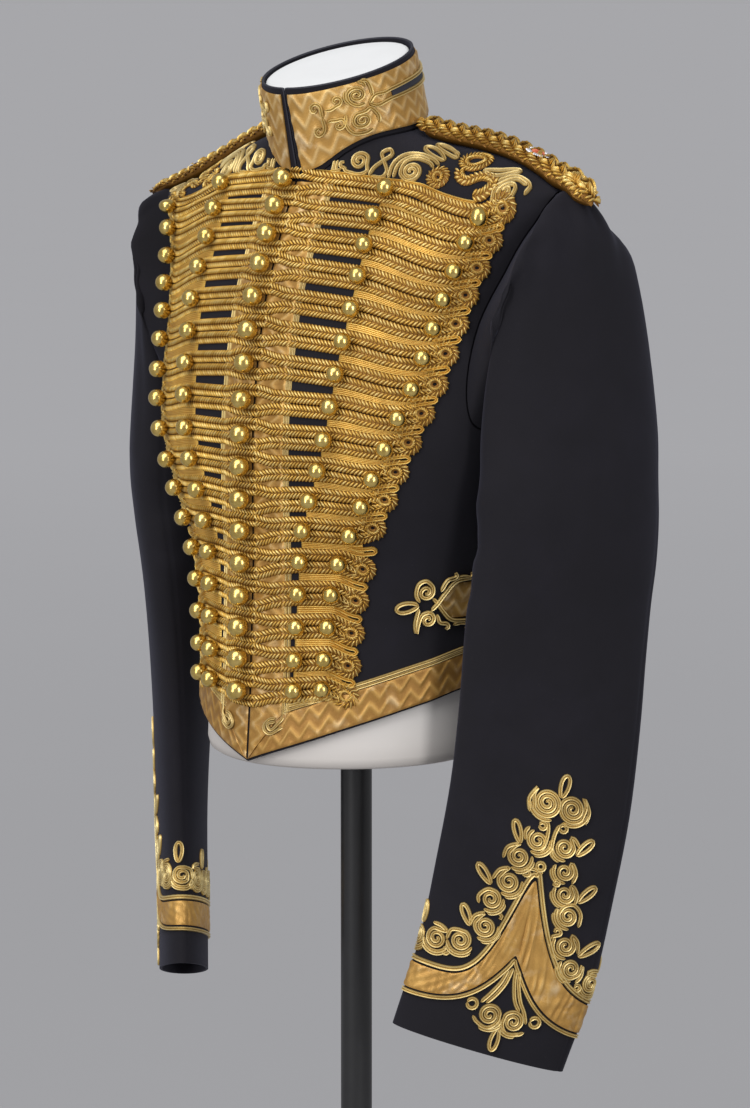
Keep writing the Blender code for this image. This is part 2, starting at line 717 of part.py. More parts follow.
def add_front_laces():
    """Lace down each front edge and along the hem, mitred at the corner."""
    cloth = tree_of("front_left", "back_left")
    gap = 0.0006
    across = np.linspace(0.0, 1.0, 3)
    z_top = neckline(np.array([0.02]))[0, 2] - 0.004
    grid = np.zeros((17, 3, 2))
    for r, v in enumerate(np.linspace(0.0, 1.0, 17)):
        for c, w in enumerate(across):
            x = gap + w * FRONT_LACE_W
            mitre = hem_z(turn_of(x, 0.74)) + HEM_PIPING + w * HEM_LACE_W + 0.0007
            grid[r, c] = (x, mitre * (1 - v) + z_top * v)
    add_lace("front_lace_", turn_of(grid[..., 0], grid[..., 1]), grid[..., 1], cloth)
    turns = np.zeros((23, 3))
    heights = np.zeros((23, 3))
    steps = np.linspace(0.0, 1.0, 23)
    for c, w in enumerate(across):
        start = turn_of(gap + 0.0006 + w * FRONT_LACE_W, 0.74)
        turns[:, c] = start + (1.9960 - start) * steps ** 1.1
        heights[:, c] = hem_z(turns[:, c]) + HEM_PIPING + w * HEM_LACE_W
    add_lace("hem_lace_", turns, heights, cloth)


def add_hip_laces():
    """Short pointed lace on each hip."""
    along = np.linspace(0.0, 1.0, 7)
    turns = HIP_START + HIP_REACH * along
    half = HIP_HALF * np.minimum(1.0, 0.25 + 3.0 * along)
    turn = np.stack([turns, turns], axis=1)
    z = np.stack([HIP_Z - half, HIP_Z + half], axis=1)
    add_lace("hip_lace_", turn, z, tree_of("front_left"))


# -------------------------------------------------------------------- frog rows
def frog_path(row, xs):
    """Turn and height of a frog row at distances from the centre."""
    z0, ix, iz, ox, oz, ez = row
    knots = (
        (-ix, iz),
        (0.0, z0),
        (ix, iz),
        (ox, oz),
        (ox + TAIL, ez),
        (ox + 2 * TAIL, ez),
    )
    z = smooth_table(knots, xs)[..., 0]
    return turn_of(xs, z), z


def ball_mesh(centre, axis, radius):
    """Small faceted ball: three rings of points and two poles."""
    side = unit(np.cross(axis, np.array([0.0, 0.0, 1.0])))
    other = np.cross(axis, side)
    n = BALL_SIDES
    verts = [centre - axis * radius]
    for height in (-55.0, -12.0, 38.0):
        h = math.radians(height)
        for k in range(n):
            t = 2 * math.pi * k / n
            flat = math.cos(t) * side + math.sin(t) * other
            verts.append(centre + radius * (math.sin(h) * axis + math.cos(h) * flat))
    verts.append(centre + axis * radius)
    faces = []
    for k in range(n):
        m = (k + 1) % n
        faces.append((0, 1 + m, 1 + k))
        faces.append((1 + k, 1 + m, 1 + n + m, 1 + n + k))
        faces.append((1 + n + k, 1 + n + m, 1 + 2 * n + m, 1 + 2 * n + k))
        faces.append((1 + 2 * n + k, 1 + 2 * n + m, 1 + 3 * n))
    return np.array(verts), faces


def bar_rings(row, right, tree):
    """Rings of one frog bar, its balls' seats and their directions."""
    _, ix, _, ox, _, _ = row
    turn, z = frog_path(row, np.array([ox, ox + 0.004]))
    probe = body_point(turn, z)
    per_x = np.linalg.norm(probe[1] - probe[0]) / 0.004
    end = ox + TAIL / per_x
    lead = [-LAP_X, -CENTRE_BALL_X] if right else [LAP_X + LAP_GAP]
    body = [0.35 * ix, 0.68 * ix, ix, 0.5 * (ix + ox), ox, end - 0.9 * ROSETTE_R / per_x]
    coil = [end + share * ROSETTE_R / per_x for share in (-0.45, 0.25, 0.80)]
    xs = np.array(lead + body + coil)
    half = np.full(len(xs), BAR_HALF)
    half[-4:] = ROSETTE_R * np.array([0.86, 1.0, 0.95, 0.55])
    half[0] = BAR_HALF * 0.8
    turn, z = frog_path(row, xs)
    at = body_point(turn, z)
    out = body_normal(turn, z)
    ahead = unit(np.gradient(at, axis=0))
    up = unit(np.cross(out, ahead))
    up *= np.sign(up[:, 2:3])
    corners = ((-1.0, 0.0), (1.0, 0.0), (0.86, BAR_T), (-0.86, BAR_T))
    rings = np.zeros((len(xs), 4, 3))
    for k, (across, height) in enumerate(corners):
        rings[:, k] = at + across * half[:, None] * up + height * out
    rings += (rise_needed(rings, out, tree, True)[:, None] * out)[:, None]
    top = 0.5 * (rings[:, 2] + rings[:, 3])
    seats = [len(lead) + 2, len(lead) + 4]
    if right:
        seats.insert(0, 1)
    return rings, top[seats], out[seats]


def join_ball(bar, centre, axis, radius):
    """Join one ball button to its bar."""
    verts, faces = ball_mesh(centre, axis, radius)
    ball = add_object("ball", verts, faces, "gold_braid")
    union = bar.modifiers.new("ball", "BOOLEAN")
    union.operation = "UNION"
    union.solver = "EXACT"
    union.object = ball
    graph = bpy.context.evaluated_depsgraph_get()
    mesh = bpy.data.meshes.new_from_object(bar.evaluated_get(graph))
    bar.modifiers.clear()
    old = bar.data
    bar.data = mesh
    bpy.data.meshes.remove(old)
    bpy.data.objects.remove(ball, do_unlink=True)


def add_frogs():
    """Seventeen rows on each front with their ball buttons."""
    tree = tree_of("front_left", "front_lace_left", "hem_lace_left")
    for k, row in enumerate(FROG_ROWS):
        for right in (False, True):
            rings, seats, out = bar_rings(row, right, tree)
            if right:
                rings = mirrored(rings)
                seats = mirrored(seats)
                out = mirrored(out)
            verts, faces = tube(rings)
            name = "frog_%s_%02d" % ("right" if right else "left", k + 1)
            bar = add_object(name, verts, faces, "gold_braid")
            for i in range(len(seats)):
                radius = CENTRE_BALL_R if right and i == 0 else BALL_R
                join_ball(bar, seats[i] + (radius - BALL_SINK) * out[i], out[i], radius)
            bar.data.name = name


# ------------------------------------------------------------------- how it hangs
def ease(values, start, end):
    """Smooth climb from 0 at `start` to 1 at `end`."""
    t = np.clip((values - start) / (end - start), 0.0, 1.0)
    return t * t * (3.0 - 2.0 * t)


def shoulder_lift(at):
    """Rise of points on the wearer's left shoulder and drop on the right one."""
    across = np.sign(at[:, 0]) * ease(np.abs(at[:, 0]), LIFT_FROM_X, LIFT_FULL_X)
    return SHOULDER_LIFT * across * ease(at[:, 2], LIFT_FROM_Z, LIFT_FULL_Z)


def hang_pieces():
    """Uneven shoulders, and the right sleeve a little short."""
    for obj in bpy.data.objects:
        mesh = obj.data
        flat = np.zeros(3 * len(mesh.vertices))
        mesh.vertices.foreach_get("co", flat)
        at = flat.reshape(-1, 3)
        lift = shoulder_lift(at)
        if obj.name in ("sleeve_right", "cuff_lace_right"):
            lift += RIGHT_SHORT * np.maximum(0.0, SHORT_BELOW_Z - at[:, 2])
        at[:, 2] += lift
        mesh.vertices.foreach_set("co", at.reshape(-1))
        mesh.update()


# ------------------------------------------------------------- shoulders and cuffs
def shoulder_line(xs):
    """Top of the shoulder and of the sleeve head at distances from the middle."""
    rows = sleeve_rows(60)
    tilt = np.radians(rows[:, 3])
    head = np.radians(rows[:, 5])
    thick = rows[:, 6]
    tops = rows[:, :3] + thick[:, None] * np.stack([
        np.sin(tilt) * np.sin(head),
        -np.sin(tilt) * np.cos(head),
        np.cos(tilt),
    ], axis=1)
    zs = np.linspace(1.2120, 1.1440, 60)
    ridge = smooth_table(TORSO, zs)
    x = np.concatenate([ridge[:, 0], tops[:14, 0]])
    y = np.concatenate([ridge[:, 3], tops[:14, 1]])
    z = np.concatenate([zs, tops[:14, 2]])
    order = np.argsort(x)
    return np.interp(xs, x[order], y[order]), np.interp(xs, x[order], z[order])


def add_shoulder_cords():
    """Plaited cord on each shoulder with its star, laid on the hung cloth."""
    xs = np.linspace(0.0720, CORD_END_X, 13)
    _, z = shoulder_line(xs)
    y = np.linspace(0.0010, 0.0120, len(xs))
    size = np.ones(len(xs))
    size[0] = 0.60
    size[-1] = 0.55
    size[-2] = 0.90
    t = np.linspace(0.0, 2 * math.pi, 10, endpoint=False)[None, :, None]
    s = np.arange(16) * math.pi / 8
    reach = np.where(np.arange(16) % 2 == 0, BADGE_R, 0.74 * BADGE_R)[:, None]
    k = STAR_STATION
    for tag, hand in (("left", 1.0), ("right", -1.0)):
        centre = np.stack([hand * xs, y, z + CORD_HALF_H - 0.0010], axis=1)
        centre[:, 2] += shoulder_lift(centre)
        ahead = unit(np.gradient(centre, axis=0))
        side = unit(np.cross(np.array([0.0, 0.0, 1.0]), ahead))
        up = np.cross(ahead, side)
        rings = centre[:, None] + size[:, None, None] * (
            CORD_HALF_W * np.cos(t) * side[:, None] + CORD_HALF_H * np.sin(t) * up[:, None]
        )
        cloth = tree_of("front_" + tag, "back_" + tag, "sleeve_" + tag)
        rise = rise_needed(rings, up, cloth, True)[:, None] * up
        verts, faces = tube(rings + rise[:, None])
        add_object("shoulder_cord_" + tag, verts, faces, "gold_braid")
        star_at = centre[k] + rise[k] + up[k] * (CORD_HALF_H + SETTLE_GAP)
        flat = reach * (np.cos(s)[:, None] * ahead[k] + np.sin(s)[:, None] * side[k])
        verts, faces = tube(np.array([star_at + flat, star_at + 0.45 * flat + BADGE_T * up[k]]))
        add_object("shoulder_star_" + tag, verts, faces, "silver_star")


def cuff_edges(around):
    """Heights of the cuff lace's lower and upper edges above the cuff."""
    bend = (around - CUFF_APEX + 180.0) % 360.0 - 180.0
    side = (bend < 0.0).astype(int)
    point = np.exp(-(np.abs(bend) / np.array(CUFF_SPREAD)[side]) ** np.array(CUFF_POWER)[side])
    notch = np.exp(-(np.abs(bend) / np.array(NOTCH_SPREAD)[side]) ** NOTCH_POWER)
    return CUFF_PLAIN + CUFF_NOTCH * notch, CUFF_PLAIN + CUFF_LACE_W + CUFF_PEAK * point


def add_cuff_laces():
    """Lace round each cuff, rising to a point on its outer side."""
    around_count = 36
    ring_count = 240
    around = np.linspace(0.0, 360.0, around_count, endpoint=False)
    rows = sleeve_rows(ring_count)
    first = ring_count * 2 // 3
    surface = np.array([
        sleeve_ring(rows[k], around, k / (ring_count - 1.0), 0.0) for k in range(first, ring_count)
    ])
    step = np.linalg.norm(np.diff(surface, axis=0), axis=2)
    up = np.vstack([np.cumsum(step[::-1], axis=0)[::-1], np.zeros((1, around_count))])
    low_edge, high_edge = cuff_edges(around)
    grids = []
    for inset in (-SETTLE_GAP, -SETTLE_GAP - LACE_T):
        surface = np.array([
            sleeve_ring(rows[k], around, k / (ring_count - 1.0), inset)
            for k in range(first, ring_count)
        ])
        rings = []
        for part in (0.0, 1.0):
            want = low_edge * (1.0 - part) + high_edge * part
            ring = np.zeros((around_count, 3))
            for c in range(around_count):
                for axis in range(3):
                    ring[c, axis] = np.interp(want[c], up[::-1, c], surface[::-1, c, axis])
            rings.append(ring)
        grids.append(np.array(rings))
    for side, flip in (("left", False), ("right", True)):
        high = mirrored(grids[1]) if flip else grids[1]
        low = mirrored(grids[0]) if flip else grids[0]
        verts, faces = shell(high, low, ring=True)
        add_object("cuff_lace_" + side, verts, faces, "gold_lace")


# -------------------------------------------------------------------------- stand
def add_form():
    """Limbless form under the cloth with its neck cap."""
    turns = np.linspace(0.0, 4.0, 24, endpoint=False)
    turns = np.where(turns > 2.0, turns - 4.0, turns)
    angle = turns * math.pi / 2
    heights = np.concatenate([
        np.linspace(RIM_Z, 1.0500, 9),
        np.array([1.0850, 1.1150, 1.1370, 1.1500, 1.1620, 1.1740, 1.1860, 1.1980]),
    ])
    rings = []
    for z in heights:
        gap = FORM_GAP + SHOULDER_EASE * min(1.0, max(0.0, (z - 1.10) / 0.03))
        at = body_out(turns, np.full(len(turns), z), -WALL - gap)
        at[:, 0] = np.clip(at[:, 0], -FORM_HALF_W, FORM_HALF_W)
        rings.append(at)
    rings[0][:, 2] += FORM_TILT * rings[0][:, 1]
    for z, wide, deep, mid in FORM_NECK:
        rise = z - NECK_DIP * deep * np.cos(angle)
        rings.append(np.stack([wide * np.sin(angle), mid - deep * np.cos(angle), rise], axis=1))
    slope = (COLLAR_BACK_Z - COLLAR_FRONT_Z) / (2 * COLLAR_HALF_D)
    wide = COLLAR_HALF_W - COLLAR_WALL - NECK_FIT
    deep = COLLAR_HALF_D - COLLAR_WALL - NECK_FIT
    rise = NECK_TOP_Z - slope * deep * np.cos(angle)
    rings.append(np.stack([wide * np.sin(angle), COLLAR_Y - deep * np.cos(angle), rise], axis=1))
    low = rings[0].mean(axis=0)
    floor = low + (rings[0] - low) * 0.94
    floor[:, 2] = FLOOR_Z + FORM_TILT * floor[:, 1]
    verts, faces = tube(np.array([floor] + rings))
    add_object("dress_form", verts, faces, "white_form", 50.0)


def level_ring(radius, z, count):
    """Level ring of points about the pole's axis."""
    t = np.linspace(0.0, 2 * math.pi, count, endpoint=False)
    return np.stack([radius * np.cos(t), radius * np.sin(t), z + 0.0 * t], axis=1)


def add_stand():
    """Pole and base."""
    pole = np.array([level_ring(POLE_R, HUB_H + SEAM_GAP, 20), level_ring(POLE_R, 0.0, 20)])
    pole[1, :, 2] = FLOOR_Z - SEAM_GAP + FORM_TILT * pole[1, :, 1]
    verts, faces = tube(pole)
    add_object("pole", verts, faces, "black_pole", 50.0)
    profile = (
        (BASE_R - 0.0015, 0.0),
        (BASE_R, 0.0015),
        (BASE_R, BASE_H - 0.0030),
        (BASE_R - 0.0030, BASE_H),
        (HUB_R, BASE_H + 0.0010),
        (HUB_R - 0.0060, HUB_H),
    )
    verts, faces = tube(np.array([level_ring(radius, z, 32) for radius, z in profile]))
    add_object("stand_base", verts, faces, "black_pole", 30.0)


def main():
    """Clear the scene and model every piece."""
    for obj in list(bpy.data.objects):
        bpy.data.objects.remove(obj, do_unlink=True)
    add_form()
    add_stand()
    add_panels()
    add_sleeves()
    add_collar()
    add_front_laces()
    add_hip_laces()
    add_frogs()
    add_cuff_laces()
    hang_pieces()
    add_shoulder_cords()


main()
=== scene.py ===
"""Waist-length military dress tunic with frogging, lace and tracing braid on a limbless dress form.

Each operator makes one piece or one group of like pieces.  Metres, +Z up, the
front faces -Y, the wearer's left is +X.  Everything is worked out on the
wearer's left and mirrored; then the cloth is hung a little uneven.
"""

import math

import bpy
import numpy as np
from mathutils import Matrix


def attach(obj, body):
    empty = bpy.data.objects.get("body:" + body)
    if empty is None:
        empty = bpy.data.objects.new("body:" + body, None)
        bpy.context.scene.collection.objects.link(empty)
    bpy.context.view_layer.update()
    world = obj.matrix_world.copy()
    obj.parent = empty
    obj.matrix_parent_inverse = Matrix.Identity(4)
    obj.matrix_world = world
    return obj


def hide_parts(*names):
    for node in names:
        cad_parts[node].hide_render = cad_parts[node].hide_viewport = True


bl_info = {
    "name": "Military Dress Tunic",
    "version": (1, 0, 0),
    "blender": (4, 5, 0),
    "location": "3D View > Sidebar > Tunic",
    "description": "Makes a braided dress tunic standing on a dress form",
    "category": "Add Mesh",
}

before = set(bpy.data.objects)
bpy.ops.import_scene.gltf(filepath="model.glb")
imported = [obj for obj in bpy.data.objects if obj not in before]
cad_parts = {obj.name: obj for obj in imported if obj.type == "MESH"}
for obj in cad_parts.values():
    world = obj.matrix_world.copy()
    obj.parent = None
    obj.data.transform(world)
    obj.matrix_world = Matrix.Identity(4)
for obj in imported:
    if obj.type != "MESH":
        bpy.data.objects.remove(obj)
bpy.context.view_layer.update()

# ------------------------------------------------------------ the tunic's cut
WALL = 0.0020
SEAM_GAP = 0.0003
SHOULDER_TIP_Z = 1.1520
SHOULDER_MID_Z = 1.1760
UNDERARM_Z = 0.9720
SIDE_TURN = 1.040
SEAM_TURN = 0.0024
TOP_FADE = 6
ARM_STEPS = 60
FRONT_SIDE_STEPS = 42
BACK_SIDE_STEPS = 30
FRONT_COLS = 37
BACK_COLS = 31
TORSO = (
    # z      width    front    back     y        nf     nb
    (0.640, 0.1240, 0.1160, 0.0950, -0.0120, 1.88, 2.25),
    (0.720, 0.1250, 0.1125, 0.0940, -0.0115, 1.88, 2.25),
    (0.770, 0.1255, 0.1095, 0.0950, -0.0110, 1.85, 2.25),
    (0.820, 0.1285, 0.1080, 0.0990, -0.0105, 1.85, 2.30),
    (0.869, 0.1375, 0.1055, 0.1060, -0.0110, 1.90, 2.30),
    (0.919, 0.1525, 0.1040, 0.1130, -0.0130, 2.10, 2.30),
    (0.970, 0.1630, 0.1043, 0.1180, -0.0120, 2.30, 2.30),
    (1.010, 0.1665, 0.1043, 0.1185, -0.0085, 2.20, 2.30),
    (1.050, 0.1705, 0.1020, 0.1160, -0.0045, 2.05, 2.25),
    (1.075, 0.1765, 0.0975, 0.1115, -0.0035, 1.92, 2.20),
    (1.099, 0.1850, 0.0898, 0.1045, -0.0030, 1.75, 2.15),
    (1.122, 0.1960, 0.0825, 0.0960, -0.0020, 1.60, 2.10),
    (1.140, 0.2040, 0.0760, 0.0880, -0.0010, 1.50, 2.05),
    (1.149, 0.2050, 0.0720, 0.0840, 0.0000, 1.47, 2.05),
    (1.158, 0.1900, 0.0690, 0.0795, 0.0005, 1.47, 2.00),
    (1.166, 0.1710, 0.0665, 0.0760, 0.0010, 1.50, 2.00),
    (1.174, 0.1490, 0.0645, 0.0725, 0.0012, 1.55, 2.00),
    (1.181, 0.1280, 0.0625, 0.0690, 0.0015, 1.62, 2.00),
    (1.187, 0.1070, 0.0600, 0.0655, 0.0018, 1.72, 2.00),
    (1.193, 0.0860, 0.0570, 0.0620, 0.0020, 1.84, 2.00),
    (1.200, 0.0660, 0.0535, 0.0575, 0.0025, 1.95, 2.00),
    (1.212, 0.0540, 0.0490, 0.0500, 0.0030, 2.00, 2.00),
    (1.235, 0.0500, 0.0440, 0.0410, 0.0030, 2.00, 2.00),
)
ARMHOLE_FRONT = (
    # z      x
    (1.1490, 0.2035),
    (1.1390, 0.1975),
    (1.1200, 0.1860),
    (1.0950, 0.1745),
    (1.0600, 0.1620),
    (1.0250, 0.1575),
    (0.9950, 0.1575),
    (0.9780, 0.1605),
)
ARMHOLE_BACK = (
    # z      turn
    (0.9790, 1.180),
    (1.0050, 1.280),
    (1.0450, 1.320),
    (1.0850, 1.310),
    (1.1130, 1.270),
    (1.1350, 1.200),
    (1.1475, 1.120),
)
HEM = (
    # turn   z
    (0.000, 0.7145),
    (0.250, 0.7310),
    (0.500, 0.7480),
    (0.750, 0.7625),
    (1.000, 0.7720),
    (1.400, 0.7720),
    (2.000, 0.7640),
)
# Soft creases of the body's cloth, in turns and heights.
BODY_CREASES = (
    # turn   z       reach   spread  depth    slant
    (0.93, 0.905, 0.10, 0.020, -0.0010, 0.10),
    (0.96, 0.868, 0.13, 0.016, -0.0012, -0.06),
    (0.90, 0.835, 0.12, 0.014, 0.0008, 0.05),
    (0.86, 1.015, 0.05, 0.045, -0.0011, 0.55),
    (1.30, 0.880, 0.16, 0.017, -0.0013, 0.05),
    (1.45, 0.842, 0.20, 0.014, -0.0009, -0.04),
    (1.62, 0.905, 0.18, 0.022, 0.0010, 0.06),
    (1.42, 1.060, 0.05, 0.060, -0.0014, -0.30),
    (1.55, 1.000, 0.06, 0.070, 0.0010, -0.35),
    (1.75, 1.130, 0.16, 0.016, -0.0009, -0.05),
    (1.90, 0.860, 0.14, 0.015, -0.0010, 0.03),
)

NORMAL_STEP = 0.004      # turns either side of a point for its way out
NORMAL_STEP_Z = 0.0008

# ------------------------------------------------------------------ the collar
NECK_HALF_W = 0.0650
NECK_HALF_D = 0.0575
NECK_Y = -0.0085
COLLAR_HALF_W = 0.0575
COLLAR_HALF_D = 0.0610
COLLAR_Y = -0.0210
COLLAR_FRONT_Z = 1.2320
COLLAR_BACK_Z = 1.2700
FOOT_RISE = 0.0016
LACE_FOOT = 0.060
COLLAR_GAP = 0.0032
COLLAR_WALL = 0.0022
NECK_START = 0.0027      # angle round the neck where the front panels start
TAPE_GAP = 0.0002        # from the cloth to the tape inside it
TAPE_T = 0.0006
COLLAR_RISE = 0.0580
COLLAR_RADIUS = 0.0615
PIPING = 0.0035
PIPING_R = 0.0010
STRIP_HALF = 0.0024
STRIP_OFF = 0.0012       # from the collar to the strip's underside
STRIP_T = 0.0016

# ----------------------------------------------------------------- the sleeves
SLEEVE = (
    # x      y        z       tilt   lean  head   thick    width
    (0.1910, 0.0080, 1.0630, 15.0, 0.0, 90.0, 0.0925, 0.0600),
    (0.1985, 0.0160, 1.0495, 21.0, 0.0, 80.0, 0.0895, 0.0670),
    (0.2015, 0.0185, 1.0275, 26.0, 0.0, 74.0, 0.0790, 0.0695),
    (0.2020, 0.0185, 1.0000, 33.0, 0.0, 70.0, 0.0660, 0.0715),
    (0.2030, 0.0180, 0.9700, 43.0, 0.0, 68.5, 0.0550, 0.0740),
    (0.2045, 0.0160, 0.9385, 55.0, 0.0, 68.0, 0.0465, 0.0755),
    (0.2045, 0.0145, 0.9050, 69.0, 0.0, 67.0, 0.0410, 0.0765),
    (0.2030, 0.0130, 0.8700, 82.0, 1.0, 64.0, 0.0360, 0.0755),
    (0.2005, 0.0105, 0.8350, 90.0, 3.0, 60.5, 0.0320, 0.0740),
    (0.1990, 0.0065, 0.7900, 90.0, 7.0, 56.0, 0.0285, 0.0725),
    (0.1960, 0.0015, 0.7200, 90.0, 11.0, 51.0, 0.0240, 0.0715),
    (0.1885, -0.0080, 0.6500, 90.0, 14.0, 48.0, 0.0215, 0.0710),
    (0.1775, -0.0180, 0.5750, 90.0, 16.0, 47.0, 0.0200, 0.0705),
    (0.1600, -0.0355, 0.4980, 90.0, 17.0, 46.0, 0.0200, 0.0690),
)
SLEEVE_RINGS = 16
RING_STEPS = 5
SLEEVE_FOLDS = (
    # down  round  reach  spread  depth    slant
    (0.10, 60.0, 0.080, 16.0, -0.0030, -60.0),
    (0.10, 20.0, 0.075, 14.0, -0.0022, 0.0),
    (0.11, 335.0, 0.080, 16.0, -0.0026, 60.0),
    (0.12, 290.0, 0.070, 18.0, -0.0024, 90.0),
    (0.16, 82.0, 0.100, 18.0, 0.0026, -40.0),
    (0.46, 95.0, 0.045, 34.0, -0.0034, 0.0),
    (0.54, 80.0, 0.040, 30.0, -0.0026, 0.0),
    (0.50, 245.0, 0.060, 40.0, 0.0024, 0.0),
)
# Finer creases: gathers at the head, drag lines at the bend, ripples lower down.
SLEEVE_CREASES = (
    # down  round  reach  spread  depth    slant
    (0.050, 44.0, 0.060, 5.0, -0.0032, -70.0),
    (0.055, 56.0, 0.050, 4.5, 0.0024, -80.0),
    (0.060, 70.0, 0.070, 5.5, -0.0034, -110.0),
    (0.070, 84.0, 0.080, 6.0, -0.0026, -120.0),
    (0.045, 30.0, 0.050, 5.0, 0.0022, -40.0),
    (0.045, 12.0, 0.045, 5.0, -0.0024, -10.0),
    (0.045, 352.0, 0.050, 5.0, -0.0022, 20.0),
    (0.050, 330.0, 0.060, 6.0, -0.0026, 50.0),
    (0.055, 312.0, 0.050, 6.0, 0.0012, 60.0),
    (0.060, 296.0, 0.060, 6.5, -0.0016, 80.0),
    (0.300, 70.0, 0.120, 10.0, -0.0014, 30.0),
    (0.360, 110.0, 0.050, 26.0, -0.0016, 0.0),
    (0.420, 84.0, 0.022, 34.0, 0.0016, 0.0),
    (0.500, 96.0, 0.020, 30.0, -0.0018, 0.0),
    (0.520, 120.0, 0.018, 24.0, 0.0013, 0.0),
    (0.580, 88.0, 0.018, 26.0, -0.0014, 0.0),
    (0.440, 236.0, 0.030, 30.0, -0.0014, 0.0),
    (0.330, 262.0, 0.060, 24.0, 0.0014, 20.0),
    (0.640, 20.0, 0.060, 16.0, -0.0008, 0.0),
    (0.720, 200.0, 0.050, 40.0, -0.0010, 0.0),
)
HIND_SEAM = 292.0        # where round the sleeve its hind seam runs
FORE_SEAM = 104.0
SEAM_DIP = 0.0007
SEAM_SPREAD = 2.2        # degrees
HEAD_INSET = 0.0012      # the sleeve's head stands this far inside the armhole's edge
RIGHT_SHORT = 0.0280
SHORT_BELOW_Z = 0.9500
SHOULDER_LIFT = 0.0090
LIFT_FROM_X = 0.0750
LIFT_FULL_X = 0.1700
LIFT_FROM_Z = 1.1300
LIFT_FULL_Z = 1.1700

# -------------------------------------------------------------- the gold lace
FRONT_LACE_W = 0.0300
HEM_LACE_W = 0.0250
HEM_PIPING = 0.0030
HEM_EDGE_SHOWN = 0.0016   # dark edge left under the hem lace
HEM_LACE_SHOWN = HEM_LACE_W + HEM_PIPING - HEM_EDGE_SHOWN
FRONT_LACE_GAP = 0.0011   # from the middle to the front lace
FRONT_LACE_SHOWN = FRONT_LACE_W - 0.0005
HIP_START = 0.800
HIP_REACH = 0.225
HIP_HALF = 0.0135
HIP_Z = 0.8430
CUFF_LACE_W = 0.0205
CUFF_PLAIN = 0.0310
CUFF_NOTCH = 0.0500
CUFF_PEAK = 0.0900
CUFF_ZERO = 350.0        # where the cuff chart starts
CUFF_POINT_S = 0.0072    # the point's distance from there
CUFF_REACH = (0.0200, 0.0240)    # how fast it falls on its two sides
CUFF_POWER = (1.6, 1.1)
NOTCH_S = 0.0100
NOTCH_REACH = (0.0220, 0.0260)
NOTCH_POWER = (1.2, 1.2)
LACE_FOOT_OFF = 0.0004   # the lace's underside stands this far off the cloth
LACE_TOP_OFF = 0.0014
LACE_EDGE = 0.0012       # width of the lace's thinner edge
LACE_EDGE_DROP = 0.0004
# Tone of the lace's ground, and the painted highlight that its raised lines add.
LACE_GROUND_AND_HIGHLIGHT = (0.42, 0.50)          # of the ground, and what the raised lines add
ZIGZAG_SPACING = 0.0125
ZIGZAG_SWING = 0.0090

# --------------------------------------------------------------- the frogging
FROG_ROWS = (
    # z      in x    in z    out x   out z   end z
    (1.1603, 0.0853, 1.1544, 0.1614, 1.1353, 1.1420),
    (1.1390, 0.0828, 1.1349, 0.1540, 1.1179, 1.1195),
    (1.1184, 0.0815, 1.1135, 0.1479, 1.0962, 1.0990),
    (1.0959, 0.0824, 1.0903, 0.1430, 1.0754, 1.0789),
    (1.0722, 0.0826, 1.0664, 0.1386, 1.0539, 1.0574),
    (1.0475, 0.0797, 1.0421, 0.1345, 1.0315, 1.0350),
    (1.0221, 0.0776, 1.0180, 0.1301, 1.0085, 1.0120),
    (0.9946, 0.0756, 0.9934, 0.1235, 0.9864, 0.9899),
    (0.9688, 0.0720, 0.9689, 0.1157, 0.9644, 0.9679),
    (0.9440, 0.0663, 0.9456, 0.1058, 0.9415, 0.9450),
    (0.9186, 0.0581, 0.9220, 0.0960, 0.9199, 0.9234),
    (0.8945, 0.0507, 0.8986, 0.0853, 0.8976, 0.9011),
    (0.8688, 0.0465, 0.8740, 0.0745, 0.8743, 0.8673),
    (0.8432, 0.0446, 0.8487, 0.0684, 0.8496, 0.8426),
    (0.8190, 0.0434, 0.8229, 0.0652, 0.8242, 0.8172),
    (0.7947, 0.0421, 0.7972, 0.0629, 0.7989, 0.7919),
    (0.7694, 0.0419, 0.7735, 0.0617, 0.7757, 0.7687),
)
TAIL = 0.0175
BALL_R = 0.0070
CENTRE_BALL_R = 0.0080
CENTRE_BALL_X = -0.0046
BALL_SINK = 0.0016
BRAID_HALF = 0.0050      # half width of one braid
BRAID_SPREAD = 0.0051    # from a row's middle to each braid's middle
BALL_SPREAD = 0.0076     # the same beside the centre ball
BRAID_RISE = 0.0022
STITCH_PITCH = 0.0031
STITCH_SLANT = 44.0
STITCH_LENGTH = 1.02     # in the braid's half widths, before the slant
STITCH_WIDTH = 0.90      # in pitches
STITCH_HEIGHT = 0.80     # in the braid's height
STITCH_LEAD = 0.42       # how far ahead of its place a stitch starts, in pitches
STITCH_FOOT = 0.24       # how high it starts, in the braid's height
STITCH_DARKEST = 0.62
ROW_OFF = 0.0003         # from the cloth to a row's braid
LACE_CLIMB = 0.0013      # how much higher a row runs over the front lace
LACE_CLIMB_X = (0.0265, 0.0310)
ROW_START = (0.0046, -0.0040)     # where a row starts on the left and on the right
OPEN_X = (0.0095, 0.0270)         # where its two braids open round the centre ball
BALL_STAND = 0.0030      # from the row's foot to the braid's top under a ball
CURL_R = 0.0056          # from the end loop's middle to its braid
CURL_HALF = 0.0047
RING_PITCH = 0.0023

